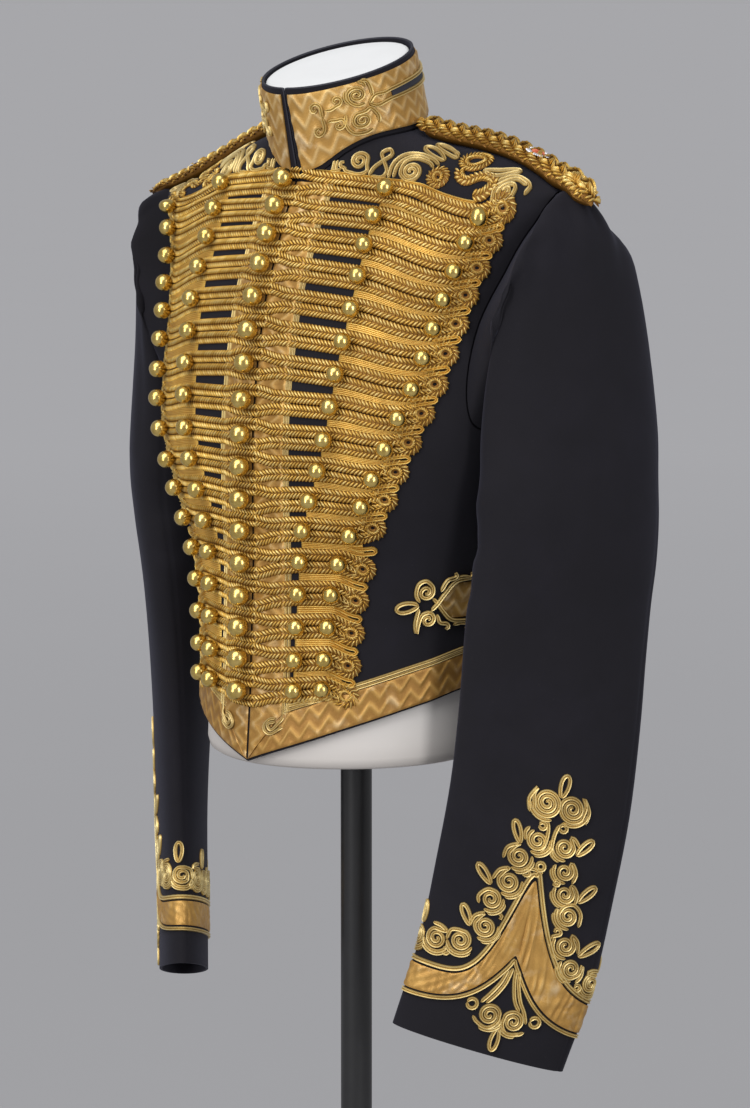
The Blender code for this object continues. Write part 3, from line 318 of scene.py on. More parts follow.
# ---------------------------------------------------------- the shoulder cords
CORD_HALF_H = 0.0055
CORD_FROM_X = 0.0720
CORD_END_X = 0.2290
CORD_Y = (0.0010, 0.0120)     # at the neck end and at the sleeve end
PLAIT_PITCH = 0.038      # length of one whole crossing of the three braids
PLAIT_SWING = 0.0074
PLAIT_RISE = 0.0034      # from the core's middle to the plait's
PLAIT_LAP = 0.0020       # how far a braid goes over and under
PLAIT_LEAN = 0.75
PLAIT_STITCH = 0.0026
PLAIT_BRAID = (0.0064, PLAIT_STITCH, 0.0036)   # half width, stitch length, height
CORE_HALF_W = 0.0118
CORE_HALF_H = 0.0058
KNOT_R = 0.0082
KNOT_RISE = 0.0030
KNOT_BRAID = (0.0060, PLAIT_STITCH, 0.0036)
STAR_GROUPS = 5
STAR_RAYS = 5            # in each group
STAR_RAY_STEP = 10.5     # degrees between them

# ------------------------------------------------------------ the tracing braid
TRACE_W = 0.0035
TRACE_RISE = 0.0014
EDGE_CORD_W = 0.0028

# -------------------------------------------------------------- form and stand
FORM_GAP = 0.0045
NECK_FIT = 0.0011
POLE_R = 0.0125
RIM_Z = 0.7190
FLOOR_Z = RIM_Z - 0.0050
FORM_HALF_W = 0.1740
SHOULDER_EASE = 0.0030
NECK_DIP = 0.16
FORM_NECK = (
    (1.2140, 0.0500, 0.0500, -0.0060),
    (1.2300, 0.0495, 0.0520, -0.0140),
)
FORM_TILT = 0.035
# Rounded edges of the form: share of the full size, and how far below its top or above its underside.
NECK_CAP = ((1.0, 0.0030), (0.995, 0.0012), (0.975, 0.0003), (0.94, 0.0), (0.5, 0.0), (0.02, 0.0))
FORM_FOOT = ((0.02, 0.0), (0.90, 0.0), (0.955, 0.0006), (0.985, 0.0026))
BASE_R = 0.1900
BASE_H = 0.0120
NECK_TOP_Z = 1.2500
HUB_R = 0.0300
HUB_H = 0.0300

# ------------------------------------------------------------------- the camera
CAMERA_TURN = 42.6       # degrees from straight ahead toward the wearer's left
CAMERA_AWAY = 3.38
CAMERA_Z = 1.30
FOCAL_PX = 4300.0
FRAME_W = 750.0
FRAME_H = 1108.0
POLE_PX = 356.0
SENSOR = 36.0

# ------------------------------------------------------------------- the studio
FLOOR_SIDES = 96
FLOOR_RINGS = (0.02, 0.5, 1.5, 4.0, 12.0, 40.0, 200.0, 1500.0)
SUN_ENERGY = 1.75
SUN_SOFTNESS = 50.0      # degrees across the sky
BOX_SIZE = (0.42, 1.5)
BOX_POWER = 15.0
BOX_Z = 1.35

CIRCLE = 2 * math.pi      # a full turn in radians


# ------------------------------------------------------------------ small maths
def smooth_table(table, at):
    """Every column of a table at the values `at`, along a monotone curve."""
    rows = np.array(table, dtype=float)
    x = rows[:, 0]
    y = rows[:, 1:]
    step = np.diff(x)[:, None]
    slope = np.diff(y, axis=0) / step
    m = np.zeros_like(y)
    before = slope[:-1]
    after = slope[1:]
    same = before * after > 0.0
    w1 = 2.0 * step[1:] + step[:-1]
    w2 = step[1:] + 2.0 * step[:-1]
    safe_b = np.where(same, before, 1.0)
    safe_a = np.where(same, after, 1.0)
    m[1:-1] = np.where(same, (w1 + w2) / (w1 / safe_b + w2 / safe_a), 0.0)
    m[0] = slope[0]
    m[-1] = slope[-1]
    at = np.clip(np.asarray(at, dtype=float), x[0], x[-1])
    k = np.clip(np.searchsorted(x, at, side="right") - 1, 0, len(x) - 2)
    h = step[k]
    t = ((at - x[k]) / h[..., 0])[..., None]
    t2 = t * t
    t3 = t2 * t
    return (
        (2 * t3 - 3 * t2 + 1) * y[k]
        + (t3 - 2 * t2 + t) * h * m[k]
        + (3 * t2 - 2 * t3) * y[k + 1]
        + (t3 - t2) * h * m[k + 1]
    )


def unit(v):
    """Vectors scaled to length one."""
    return v / np.maximum(np.linalg.norm(v, axis=-1, keepdims=True), 1e-12)


def ease(values, start, end):
    """Smooth climb from 0 at `start` to 1 at `end`."""
    t = np.clip((values - start) / (end - start), 0.0, 1.0)
    return t * t * (3.0 - 2.0 * t)


def through(points, steps=12):
    """Smooth curve through points given along the first axis."""
    p = np.asarray(points, dtype=float)
    p = np.concatenate([2 * p[:1] - p[1:2], p, 2 * p[-1:] - p[-2:-1]])
    t = np.linspace(0.0, 1.0, steps, endpoint=False).reshape((-1,) + (1,) * (p.ndim - 1))
    fine = []
    for i in range(1, len(p) - 2):
        a = 2 * p[i]
        b = p[i + 1] - p[i - 1]
        c = 2 * p[i - 1] - 5 * p[i] + 4 * p[i + 1] - p[i + 2]
        d = -p[i - 1] + 3 * p[i] - 3 * p[i + 1] + p[i + 2]
        fine.append(0.5 * (a + b * t + c * t ** 2 + d * t ** 3))
    return np.concatenate(fine + [p[-2:-1]])


def nearest(away, lap):
    """Signed distance round a closed lap, never more than half of it."""
    return (away + 0.5 * lap) % lap - 0.5 * lap


def circle(x, y, radius, angles):
    """Flat points at some angles round a middle."""
    return np.stack([x + radius * np.cos(angles), y + radius * np.sin(angles)], axis=1)


def turned(x, y, along, across, angle):
    """Flat points given along and across a direction in degrees."""
    c = math.cos(math.radians(angle))
    s = math.sin(math.radians(angle))
    return np.stack([x + c * along - s * across, y + s * along + c * across], axis=1)


def run_of(points):
    """Distance along a line of points."""
    return np.concatenate([[0.0], np.cumsum(np.linalg.norm(np.diff(points, axis=0), axis=1))])


def even(points, count):
    """Evenly spaced points along a line of points."""
    run = run_of(points)
    want = np.linspace(0.0, run[-1], count)
    return np.stack([np.interp(want, run, points[:, i]) for i in range(points.shape[1])], axis=1)


def spline(points, count):
    """Evenly spaced points on a smooth curve through the given ones."""
    return even(through(points, 24), count)


# --------------------------------------------------------------- the body's form
def body_point(turn, z):
    """Point of the body's outer surface at a turn and height."""
    turn = np.asarray(turn, dtype=float)
    wide, front, back, mid, nf, nb = np.moveaxis(smooth_table(TORSO, z), -1, 0)
    s = np.sin(turn * math.pi / 2)
    c = np.cos(turn * math.pi / 2)
    power = np.where(c > 0, 2.0 / nf, 2.0 / nb)
    depth = np.where(c > 0, front, back)
    x = wide * np.sign(s) * np.abs(s) ** power
    y = mid - depth * np.sign(c) * np.abs(c) ** power
    return np.stack([x, y, z + 0.0 * x], axis=-1)


def body_normal(turn, z):
    """Outward direction of the body's surface."""
    d = NORMAL_STEP
    du = body_point(turn + d, z) - body_point(turn - d, z)
    dz = body_point(turn, z + NORMAL_STEP_Z) - body_point(turn, z - NORMAL_STEP_Z)
    return unit(np.cross(du, dz))


def body_out(turn, z, off):
    """Body point moved out along the surface's normal."""
    return body_point(turn, z) + off * body_normal(turn, z)


def swell(turn, z):
    """How far soft creases move the body's cloth."""
    total = np.zeros(np.broadcast(turn, z).shape)
    for at, high, reach, spread, depth, slant in BODY_CREASES:
        along = (np.abs(turn) - at) / reach
        across = (z - high - slant * (np.abs(turn) - at)) / spread
        total = total + depth * np.exp(-along ** 2 - across ** 2)
    return total


def cloth_at(turn, z, off):
    """Point of the creased cloth, moved out by `off`."""
    out = body_normal(turn, z)
    return body_point(turn, z) + (off + swell(turn, z))[..., None] * out


def body_cloth(turn, z):
    """Creased cloth by turn and height."""
    return cloth_at(turn, z, 0.0)


def turn_of(x, z):
    """Turn of the front surface at a given x and height."""
    row = smooth_table(TORSO, z)
    s = np.clip(np.abs(x) / row[..., 0], 0.0, 1.0) ** (row[..., 4] / 2.0)
    return np.sign(x) * np.arcsin(s) * 2.0 / math.pi


def front_cloth(x, z, off=0.0):
    """Creased front cloth by x and height."""
    return cloth_at(turn_of(x, z), z, off)


def on_front(points, off):
    """Front cloth at the x and z of some points."""
    return front_cloth(points[..., 0], points[..., 2], off)


def beside(y, z):
    """Half width, middle, depth, power and side of the body's section next to a y."""
    wide, front, back, mid, nf, nb = np.moveaxis(smooth_table(TORSO, z), -1, 0)
    ahead = y < mid
    return wide, mid, np.where(ahead, front, back), np.where(ahead, nf, nb), ahead


def neckline(angle):
    """Foot of the collar: the body's surface over an oval round the neck."""
    angle = np.asarray(angle, dtype=float)
    x = NECK_HALF_W * np.sin(angle)
    y = NECK_Y - NECK_HALF_D * np.cos(angle)
    low = np.full(x.shape, 1.140)
    high = np.full(x.shape, 1.235)
    for _ in range(40):
        mid = 0.5 * (low + high)
        wide, cy, depth, power, _ = beside(y, mid)
        inside = (np.abs(x) / wide) ** power + (np.abs(y - cy) / depth) ** power < 1.0
        low = np.where(inside, mid, low)
        high = np.where(inside, high, mid)
    return np.stack([x, y, low], axis=-1)


def neck_turn(point):
    """Turn round the body of a point of the neckline."""
    wide, cy, depth, power, ahead = beside(point[..., 1], point[..., 2])
    s = (np.abs(point[..., 0]) / wide) ** (power / 2.0)
    c = (np.abs(point[..., 1] - cy) / depth) ** (power / 2.0)
    return np.where(ahead, np.arctan2(s, c), math.pi - np.arctan2(s, c)) * 2.0 / math.pi


def hem_z(turn):
    """Height of the hem's lower edge."""
    return smooth_table(HEM, np.abs(turn))[..., 0]


def shoulder_lift(at):
    """Rise of points on the wearer's left shoulder and drop on the right one."""
    across = np.sign(at[:, 0]) * ease(np.abs(at[:, 0]), LIFT_FROM_X, LIFT_FULL_X)
    return SHOULDER_LIFT * across * ease(at[:, 2], LIFT_FROM_Z, LIFT_FULL_Z)


# ------------------------------------------------------------------ mesh helpers
class Bag:
    """Points, faces and tones gathered for one piece."""

    def __init__(self):
        self.points = []
        self.quads = []
        self.tris = []
        self.tones = []
        self.count = 0

    def add(self, points, quads, tris=None, tone=0.0):
        """Add a closed form, its faces turned outward."""
        points = np.asarray(points, dtype=float).reshape(-1, 3)
        quads = np.asarray(quads, dtype=np.int64).reshape(-1, 4)
        tris = np.zeros((0, 3), np.int64) if tris is None else np.asarray(tris).reshape(-1, 3)
        every = np.vstack([quads[:, :3], quads[:, [0, 2, 3]], tris])
        a, b, c = (points[every[:, i]] - points.mean(axis=0) for i in range(3))
        if (a * np.cross(b, c)).sum() < 0.0:
            quads = quads[:, ::-1]
            tris = tris[:, ::-1]
        self.points.append(points)
        self.quads.append(quads + self.count)
        self.tris.append(tris + self.count)
        self.tones.append(np.broadcast_to(np.asarray(tone, float).reshape(-1), (len(points),)))
        self.count += len(points)

    def piece(self, name, finish, slot, replaced=(), right=False, short=False, sharp=50.0):
        """Make the object, on the wearer's right if asked, and hang it."""
        at = np.vstack(self.points)
        quads = np.vstack(self.quads)
        tris = np.vstack(self.tris)
        if right:
            at = at * np.array([-1.0, 1.0, 1.0])
            quads = quads[:, ::-1]
            tris = tris[:, ::-1]
        lift = shoulder_lift(at)
        if right and short:
            lift = lift + RIGHT_SHORT * np.maximum(0.0, SHORT_BELOW_Z - at[:, 2])
        at = at + lift[:, None] * np.array([0.0, 0.0, 1.0])
        mesh = bpy.data.meshes.new(name)
        mesh.vertices.add(len(at))
        mesh.vertices.foreach_set("co", at.astype(np.float32).ravel())
        loops = np.concatenate([quads.ravel(), tris.ravel()]).astype(np.int32)
        starts = np.concatenate([
            np.arange(len(quads)) * 4,
            len(quads) * 4 + np.arange(len(tris)) * 3,
        ]).astype(np.int32)
        mesh.loops.add(len(loops))
        mesh.loops.foreach_set("vertex_index", loops)
        mesh.polygons.add(len(starts))
        mesh.polygons.foreach_set("loop_start", starts)
        mesh.update(calc_edges=True)
        mesh.validate()
        # The tone attribute carries painted shade in gaps, grooves and undersides and painted highlights on
        # raised parts, with random variation per stitch; the gold looks read it.
        tones = mesh.attributes.new("tone", "FLOAT", "POINT")
        tones.data.foreach_set("value", np.concatenate(self.tones).astype(np.float32))
        mesh.shade_smooth()
        mesh.set_sharp_from_angle(angle=math.radians(sharp))
        mesh.materials.append(look(finish))
        obj = bpy.data.objects.new(name, mesh)
        bpy.context.scene.collection.objects.link(obj)
        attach(obj, "root")
        if replaced:
            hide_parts(*replaced)
        return obj


SIDES = (("left", False), ("right", True))


def both_sides(bag, name, finish, slot, replaced=(), short=False, sharp=50.0):
    """The same piece on both sides; `replaced` names end in left or right."""
    made = []
    for side, right in SIDES:
        nodes = [node % side for node in replaced]
        made.append(bag.piece(name % side, finish, slot, nodes, right, short, sharp))
    return made


def shell(outer, inner, ring=False):
    """Closed wall between two grids of points; `ring` joins the last column."""
    rows, cols = outer.shape[:2]
    n = rows * cols
    grid = np.arange(n).reshape(rows, cols)
    if ring:
        grid = np.hstack([grid, grid[:, :1]])
    a, b, d, e = grid[:-1, :-1], grid[:-1, 1:], grid[1:, :-1], grid[1:, 1:]
    quads = [np.stack([a, b, e, d], -1).reshape(-1, 4), np.stack([a, d, e, b], -1).reshape(-1, 4) + n]
    low, high = grid[0], grid[-1]
    quads.append(np.stack([low[:-1], low[:-1] + n, low[1:] + n, low[1:]], -1))
    quads.append(np.stack([high[:-1], high[1:], high[1:] + n, high[:-1] + n], -1))
    if not ring:
        low, high = grid[:, 0], grid[:, -1]
        quads.append(np.stack([low[:-1], low[1:], low[1:] + n, low[:-1] + n], -1))
        quads.append(np.stack([high[:-1], high[:-1] + n, high[1:] + n, high[1:]], -1))
    return np.vstack([outer.reshape(-1, 3), inner.reshape(-1, 3)]), np.vstack(quads)


def tube(rings, closed=False):
    """Quads and end triangles of a tube through rings of equal point counts."""
    rows, cols = rings.shape[:2]
    grid = np.arange(rows * cols).reshape(rows, cols)
    grid = np.hstack([grid, grid[:, :1]])
    if closed:
        grid = np.vstack([grid, grid[:1]])
    a, b, d, e = grid[:-1, :-1], grid[:-1, 1:], grid[1:, :-1], grid[1:, 1:]
    quads = np.stack([a, b, e, d], -1).reshape(-1, 4)
    if closed:
        return rings.reshape(-1, 3), quads, None
    k = np.arange(1, cols - 1)
    start = np.stack([0 * k, k + 1, k], -1)
    end = (rows - 1) * cols + np.stack([0 * k, k, k + 1], -1)
    return rings.reshape(-1, 3), quads, np.vstack([start, end])


def frames(points, out):
    """Directions ahead, sideways and out at each point of a line."""
    ahead = unit(np.gradient(points, axis=0))
    side = unit(np.cross(out, ahead))
    return ahead, side, unit(np.cross(ahead, side))


def sweep(bag, points, out, profile, tone=0.0, taper=0.0):
    """Run a closed profile of (side, out) sizes along a line."""
    _, side, up = frames(points, out)
    size = np.ones(len(points))
    if taper:
        run = run_of(points)
        size = np.sqrt(np.clip(np.minimum(run, run[-1] - run) / taper, 0.06, 1.0))
    flat = np.asarray(profile, dtype=float)
    rings = (
        points[:, None]
        + size[:, None, None] * flat[None, :, :1] * side[:, None]
        + flat[None, :, 1:] * up[:, None] * (0.4 + 0.6 * size[:, None, None])
    )
    shape = tube(rings)
    bag.add(shape[0], shape[1], shape[2], np.broadcast_to(tone, (len(points), len(flat))))


def stamp(bag, form, at, ahead, side, up, tone=0.0):
    """Copies of a small form, one at each place; its painted shade and highlight times each tone."""
    points, quads, tris, shade = form
    every = (
        at[:, None]
        + points[None, :, :1] * ahead[:, None]
        + points[None, :, 1:2] * side[:, None]
        + points[None, :, 2:] * up[:, None]
    )
    n = len(at)
    step = (np.arange(n) * len(points))[:, None, None]
    bag.add(every, (quads[None] + step), (tris[None] + step),
            np.broadcast_to(tone, (n,))[:, None] * shade[None])


def stitch_form(length, width, rise):
    """One raised stitch, pointed at both ends, lying along its first axis; its shade values paint shadow at
    its edges and tips and a highlight along its middle.
    """
    section = np.array([(-0.5, 0.0), (-0.36, 0.66), (0.0, 1.0), (0.36, 0.66), (0.5, 0.0)])
    points = [(0.0, 0.0, 0.0)]
    # Shade per point: painted shadow at the tips and side edges, where neighbouring stitches meet, and a
    # painted highlight along the middle.
    shade = [0.2]
    for along, fat, high in ((0.16, 0.74, 0.74), (0.50, 1.0, 1.0), (0.84, 0.80, 0.70)):
        points += [(along * length, v * width * fat, h * rise * high) for v, h in section]
        shade += [0.0, 0.92 * high, high, 0.92 * high, 0.0]
    points.append((length, 0.0, 0.0))
    shade.append(0.1)
    quads = [
        (1 + 5 * r + c, 1 + 5 * r + (c + 1) % 5, 6 + 5 * r + (c + 1) % 5, 6 + 5 * r + c)
        for r in range(2) for c in range(5)
    ]
    tris = [(0, 1 + (c + 1) % 5, 1 + c) for c in range(5)]
    tris += [(16, 11 + c, 11 + (c + 1) % 5) for c in range(5)]
    return np.array(points), np.array(quads), np.array(tris), np.array(shade)


# Across a braid's core, in half widths and in its height.
BRAID_PROFILE = (
    (-0.96, 0.0), (-0.84, 0.30), (-0.5, 0.48), (0.0, 0.20), (0.5, 0.48), (0.84, 0.30), (0.96, 0.0),
)


def braid(bag, points, out, half, pitch=STITCH_PITCH, rise=BRAID_RISE, seed=1, closed=False):
    """Flat braid: a low core, toned darkest as painted shade, with two rows of slanted stitches pointing
    ahead.
    """
    length = run_of(points)[-1]
    count = max(3, int(round(length / pitch)))
    fine = np.hstack([points, out])
    run = run_of(points)
    want = (np.arange(count) + 0.5) * length / count
    at = np.stack([np.interp(want, run, fine[:, i]) for i in range(6)], axis=1)
    ahead, side, up = frames(at[:, :3], unit(at[:, 3:]))
    if closed:
        wrapped = np.vstack([at[-1:], at, at[:1]])
        ahead, side, up = (a[1:-1] for a in frames(wrapped[:, :3], unit(wrapped[:, 3:])))
    profile = np.array(BRAID_PROFILE) * (half, rise)
    rings = at[:, None, :3] + profile[None, :, :1] * side[:, None] + profile[None, :, 1:] * up[:, None]
    shape = tube(rings, closed)
    # The core gets the lowest tone: painted shade in the line between the two rows and in the gaps between
    # stitches.
    bag.add(shape[0], shape[1], shape[2], 0.0)
    slant = math.radians(STITCH_SLANT)
    random = np.random.default_rng(seed)
    form = stitch_form(STITCH_LENGTH * half / math.cos(slant), pitch * math.cos(slant) * STITCH_WIDTH,
                       rise * STITCH_HEIGHT)
    for hand in (1.0, -1.0):
        along = unit(hand * math.cos(slant) * side - math.sin(slant) * ahead)
        across = unit(np.cross(up, along))
        start = at[:, :3] + STITCH_LEAD * pitch * ahead + STITCH_FOOT * rise * up
        stamp(bag, form, start, along, across, up, random.uniform(STITCH_DARKEST, 1.0, count))


def ball(bag, centre, axis, radius, rings=12, around=18):
    """Smooth ball button with its poles on its axis."""
    side = unit(np.cross(axis, np.array([0.0, 0.0, 1.0])))
    other = np.cross(axis, side)
    h = np.radians(np.linspace(-90.0, 90.0, rings + 1)[1:-1])[:, None, None]
    t = np.linspace(0.0, CIRCLE, around, endpoint=False)[None, :, None]
    grid = centre + radius * (np.sin(h) * axis + np.cos(h) * (np.cos(t) * side + np.sin(t) * other))
    points, quads, _ = tube(grid)
    points = np.vstack([points, centre - radius * axis, centre + radius * axis])
    k = np.arange(around)
    m = (k + 1) % around
    last = (rings - 2) * around
    tris = np.vstack([
        np.stack([0 * k + len(points) - 2, m, k], -1),
        np.stack([0 * k + len(points) - 1, last + k, last + m], -1),
    ])
    bag.add(points, quads, tris)


# ------------------------------------------------------------------ cloth panels
def coons(bottom, right, top, left):
    """Grid of turn and height between four edges; the top's shape fades fast."""
    u = np.linspace(0.0, 1.0, len(bottom))[None, :, None]
    v = np.linspace(0.0, 1.0, len(left))[:, None, None]
    flat_low = (1 - u) * bottom[0] + u * bottom[-1]
    flat_high = (1 - u) * top[0] + u * top[-1]
    across = (1 - u) * left[:, None] + u * right[:, None]
    return across + (1 - v) * (bottom[None] - flat_low) + v ** TOP_FADE * (top[None] - flat_high)


def joined(first, second, steps_first, steps_second):
    """Two edge runs end to end with a set number of steps in each."""
    return np.vstack([spline(first, steps_first + 1), spline(second, steps_second + 1)[1:]])


def edge_turn(z, back):
    """Turn of a centre edge, half a seam gap from the middle."""
    row = smooth_table(TORSO, z)
    power = row[..., 5] if back else row[..., 4]
    turn = np.arcsin((0.5 * SEAM_GAP / row[..., 0]) ** (power / 2.0)) * 2.0 / math.pi
    return 2.0 - turn if back else turn


def armhole_edge(back):
    """Turn and height down the front edge or up the back edge of the armhole."""
    low = (SIDE_TURN, UNDERARM_Z)
    high = (SIDE_TURN, SHOULDER_TIP_Z)
    if back:
        return np.array([low] + [(t, z) for z, t in ARMHOLE_BACK] + [high])
    rows = np.array(ARMHOLE_FRONT)
    front = np.stack([turn_of(rows[:, 1], rows[:, 0]), rows[:, 0]], axis=1)
    return np.array([high] + [tuple(p) for p in front] + [low])


def shoulder_angle(turn):
    """Angle round the neck where the shoulder seam meets the collar."""
    angles = np.linspace(1.2, 2.4, 200)
    return float(np.interp(turn, neck_turn(neckline(angles)), angles))


def panel_domain(back):
    """Turn and height of a front or back panel's points, from its lower to its upper edge."""
    start = SIDE_TURN + SEAM_TURN if back else SIDE_TURN
    steps, cols = (BACK_SIDE_STEPS, BACK_COLS) if back else (FRONT_SIDE_STEPS, FRONT_COLS)
    arm = armhole_edge(back) if back else armhole_edge(back)[::-1]
    arm[[0, -1], 0] = start
    side = np.array([(start, z) for z in np.linspace(hem_z(SIDE_TURN), UNDERARM_Z, 6)])
    side = joined(side, arm, steps, ARM_STEPS)
    inner, outer = (shoulder_angle(start), math.pi) if back else (NECK_START, shoulder_angle(start))
    neck = neckline(np.linspace(inner, outer, 12))
    neck = np.stack([neck_turn(neck), neck[:, 2]], axis=1)
    neck = neck if back else neck[::-1]
    shoulder = np.array([arm[-1], (start, SHOULDER_MID_Z), neck[0]])
    down = cols // 3
    top = joined(shoulder, neck, down, cols - 1 - down)
    heights = np.linspace(hem_z(2.0 if back else 0.0), top[-1, 1], len(side))
    middle = np.stack([edge_turn(heights, back), heights], axis=1)
    top[-1] = middle[-1]
    left, right = (side, middle) if back else (middle, side)
    turns = np.linspace(left[0, 0], right[0, 0], cols)
    bottom = np.stack([turns, hem_z(turns)], axis=1)
    return coons(bottom, right, top if back else top[::-1], left)


# ------------------------------------------------------------------------ sleeves
def armhole_turns():
    """Turns and heights once round the armhole, ending where they start."""
    front = spline(armhole_edge(False)[::-1], ARM_STEPS + 1)[::-1]
    return np.vstack([front[:-1], spline(armhole_edge(True), ARM_STEPS + 1)])


def armhole_loop(shrink):
    """Points round the armhole, drawn in by `shrink` toward its middle."""
    loop = armhole_turns()[:-1]
    at = body_point(loop[:, 0], loop[:, 1])
    out = body_normal(loop[:, 0], loop[:, 1])
    along = unit(np.roll(at, -1, axis=0) - np.roll(at, 1, axis=0))
    inward = unit(np.cross(along, out))
    middle = at.mean(axis=0)
    inward *= np.sign(((middle - at) * inward).sum(axis=1, keepdims=True))
    return at + shrink * inward


def sleeve_rows(count):
    """Sleeve table read at `count` even steps from the head to the cuff."""
    table = np.array(SLEEVE)
    rows = np.column_stack([np.arange(len(table), dtype=float), table])
    return smooth_table(rows, np.linspace(0.0, len(table) - 1.0, count))


def fold_depth(folds, down, around):
    """How far folds move the sleeve's cloth."""
    total = np.zeros(np.broadcast(down, around).shape)
    for at, turn, reach, spread, depth, slant in folds:
        away = (down - at) / reach
        bend = nearest(around - turn - slant * (down - at), 360.0)
        total = total + depth * np.exp(-away ** 2 - (bend / spread) ** 2)
    return total


def sleeve_ring(row, around, down):
    """One ring of the sleeve."""
    x, y, z, tilt, lean, head, thick, width = row
    tilt, lean, head = math.radians(tilt), math.radians(lean), math.radians(head)
    outward = np.array([math.sin(head), -math.cos(head), 0.0])
    forward = np.array([-math.cos(head), -math.sin(head), 0.0])
    up = np.array([0.0, 0.0, 1.0])
    e1 = math.cos(tilt) * up + math.sin(tilt) * outward
    e2 = math.cos(lean) * forward + math.sin(lean) * up
    t = np.radians(around)[:, None]
    normal = unit(width * np.cos(t) * e1 + thick * np.sin(t) * e2)
    point = np.array([x, y, z]) + thick * np.cos(t) * e1 + width * np.sin(t) * e2
    return point + fold_depth(SLEEVE_FOLDS, down, around)[:, None] * normal


def grid_out(grid):
    """Outward directions of a grid of rings round the sleeve."""
    down = np.gradient(grid, axis=0)
    wrapped = np.concatenate([grid[:, -1:], grid, grid[:, :1]], axis=1)
    around = wrapped[:, 2:] - wrapped[:, :-2]
    return unit(np.cross(around, down))


def sleeve_surface():
    """Rings of the left sleeve from the armhole to the cuff, and their way out."""
    around = np.linspace(0.0, 360.0, 2 * ARM_STEPS, endpoint=False)
    coarse = [armhole_loop(HEAD_INSET)]
    for k, row in enumerate(sleeve_rows(SLEEVE_RINGS)):
        coarse.append(sleeve_ring(row, around, k / (SLEEVE_RINGS - 1.0)))
    grid = through(np.array(coarse), RING_STEPS)
    down = (np.arange(len(grid)) / RING_STEPS - 1.0) / (SLEEVE_RINGS - 1.0)
    down = np.maximum(down, 0.0)[:, None]
    out = grid_out(grid)
    if (out[-1, 0] * (grid[-1, 0] - grid[-1].mean(axis=0))).sum() < 0.0:
        out = -out
    start = np.clip(np.arange(len(grid)) / RING_STEPS, 0.0, 1.0)[:, None]
    bulge = fold_depth(SLEEVE_CREASES, down, around[None]) * start
    for seam in (HIND_SEAM, FORE_SEAM):
        bend = nearest(around[None] - seam, 360.0)
        bulge = bulge - SEAM_DIP * np.exp(-(bend / SEAM_SPREAD) ** 2) * start
    grid = grid + bulge[..., None] * out
    return grid, out


def lookup(table, a, b):
    """Values of a table between its entries; `a` goes down it and `b` across."""
    a = np.clip(a, 0.0, table.shape[0] - 1.001)
    b = np.clip(b, 0.0, table.shape[1] - 1.001)
    i = a.astype(int)
    j = b.astype(int)
    s = (a - i)[..., None]
    t = (b - j)[..., None]
    return (
        (1 - s) * ((1 - t) * table[i, j] + t * table[i, j + 1])
        + s * ((1 - t) * table[i + 1, j] + t * table[i + 1, j + 1])
    )


class CuffChart:
    """Lower sleeve by distance round from the cuff's point and height above the edge."""

    STEP = 0.001
    TOP = 0.230
    GIRTH_ROW = 60           # the height, in steps, where distances round are measured

    def __init__(self):
        grid, _ = sleeve_surface()
        grid = grid[::-1][: 6 * RING_STEPS]
        cols = grid.shape[1]
        heights = np.arange(0.0, self.TOP, self.STEP)
        table = np.zeros((len(heights), cols, 3))
        for c in range(cols):
            run = run_of(grid[:, c])
            for axis in range(3):
                table[:, c, axis] = np.interp(heights, run, grid[:, c, axis])
        self.cols = cols
        self.table = np.concatenate([table[:, -2:], table, table[:, :3]], axis=1)
        ring = table[self.GIRTH_ROW]
        run = run_of(np.vstack([ring, ring[:1]]))
        self.girth = run[-1]
        self.run = run
        self.zero = np.interp(CUFF_ZERO / 360.0 * cols, np.arange(cols + 1), run)

    def column(self, s):
        """Column of the table at a distance round."""
        return np.interp((s + self.zero) % self.girth, self.run, np.arange(self.cols + 1))

    def at(self, s, u):
        """Point of the sleeve's surface."""
        return lookup(self.table, u / self.STEP, self.column(s) + 2.0)


def surface_frame(place, a, b, step=0.0006):
    """Points of a charted surface and their outward directions."""
    da = place(a + step, b) - place(a - step, b)
    db = place(a, b + step) - place(a, b - step)
    return place(a, b), unit(np.cross(da, db))


# ------------------------------------------------------------------------- collar
def collar_at(angles, rises, off):
    """Points of the collar; rise 0 is its foot and 1 its top edge."""
    foot = neckline(angles) + np.array([0.0, 0.0, FOOT_RISE])
    y = COLLAR_Y - COLLAR_HALF_D * np.cos(angles)
    slope = (COLLAR_BACK_Z - COLLAR_FRONT_Z) / (2 * COLLAR_HALF_D)
    z = COLLAR_FRONT_Z + (y - COLLAR_Y + COLLAR_HALF_D) * slope
    top = np.stack([COLLAR_HALF_W * np.sin(angles), y, z], axis=-1)
    out = unit(np.stack([
        np.sin(angles) / NECK_HALF_W, -np.cos(angles) / NECK_HALF_D, 0.0 * angles,
    ], axis=-1))
    v = np.asarray(rises)[..., None]
    return foot * (1 - v) + top * v + np.asarray(off)[..., None] * out


def collar_chart(off):
    """Collar's outer face by distance from the front edge and height."""
    def at(s, h):
        return collar_at(s / COLLAR_RADIUS, h / COLLAR_RISE, off)
    return at


# ------------------------------------------------------------- charts of the body
def frog_path(row, xs):
    """Height of a frog row at distances from the centre."""
    z0, ix, iz, ox, oz, ez = row
    knots = ((-ix, iz), (0.0, z0), (ix, iz), (ox, oz), (ox + TAIL, ez), (ox + 2 * TAIL, ez))
    return smooth_table(knots, xs)[..., 0]


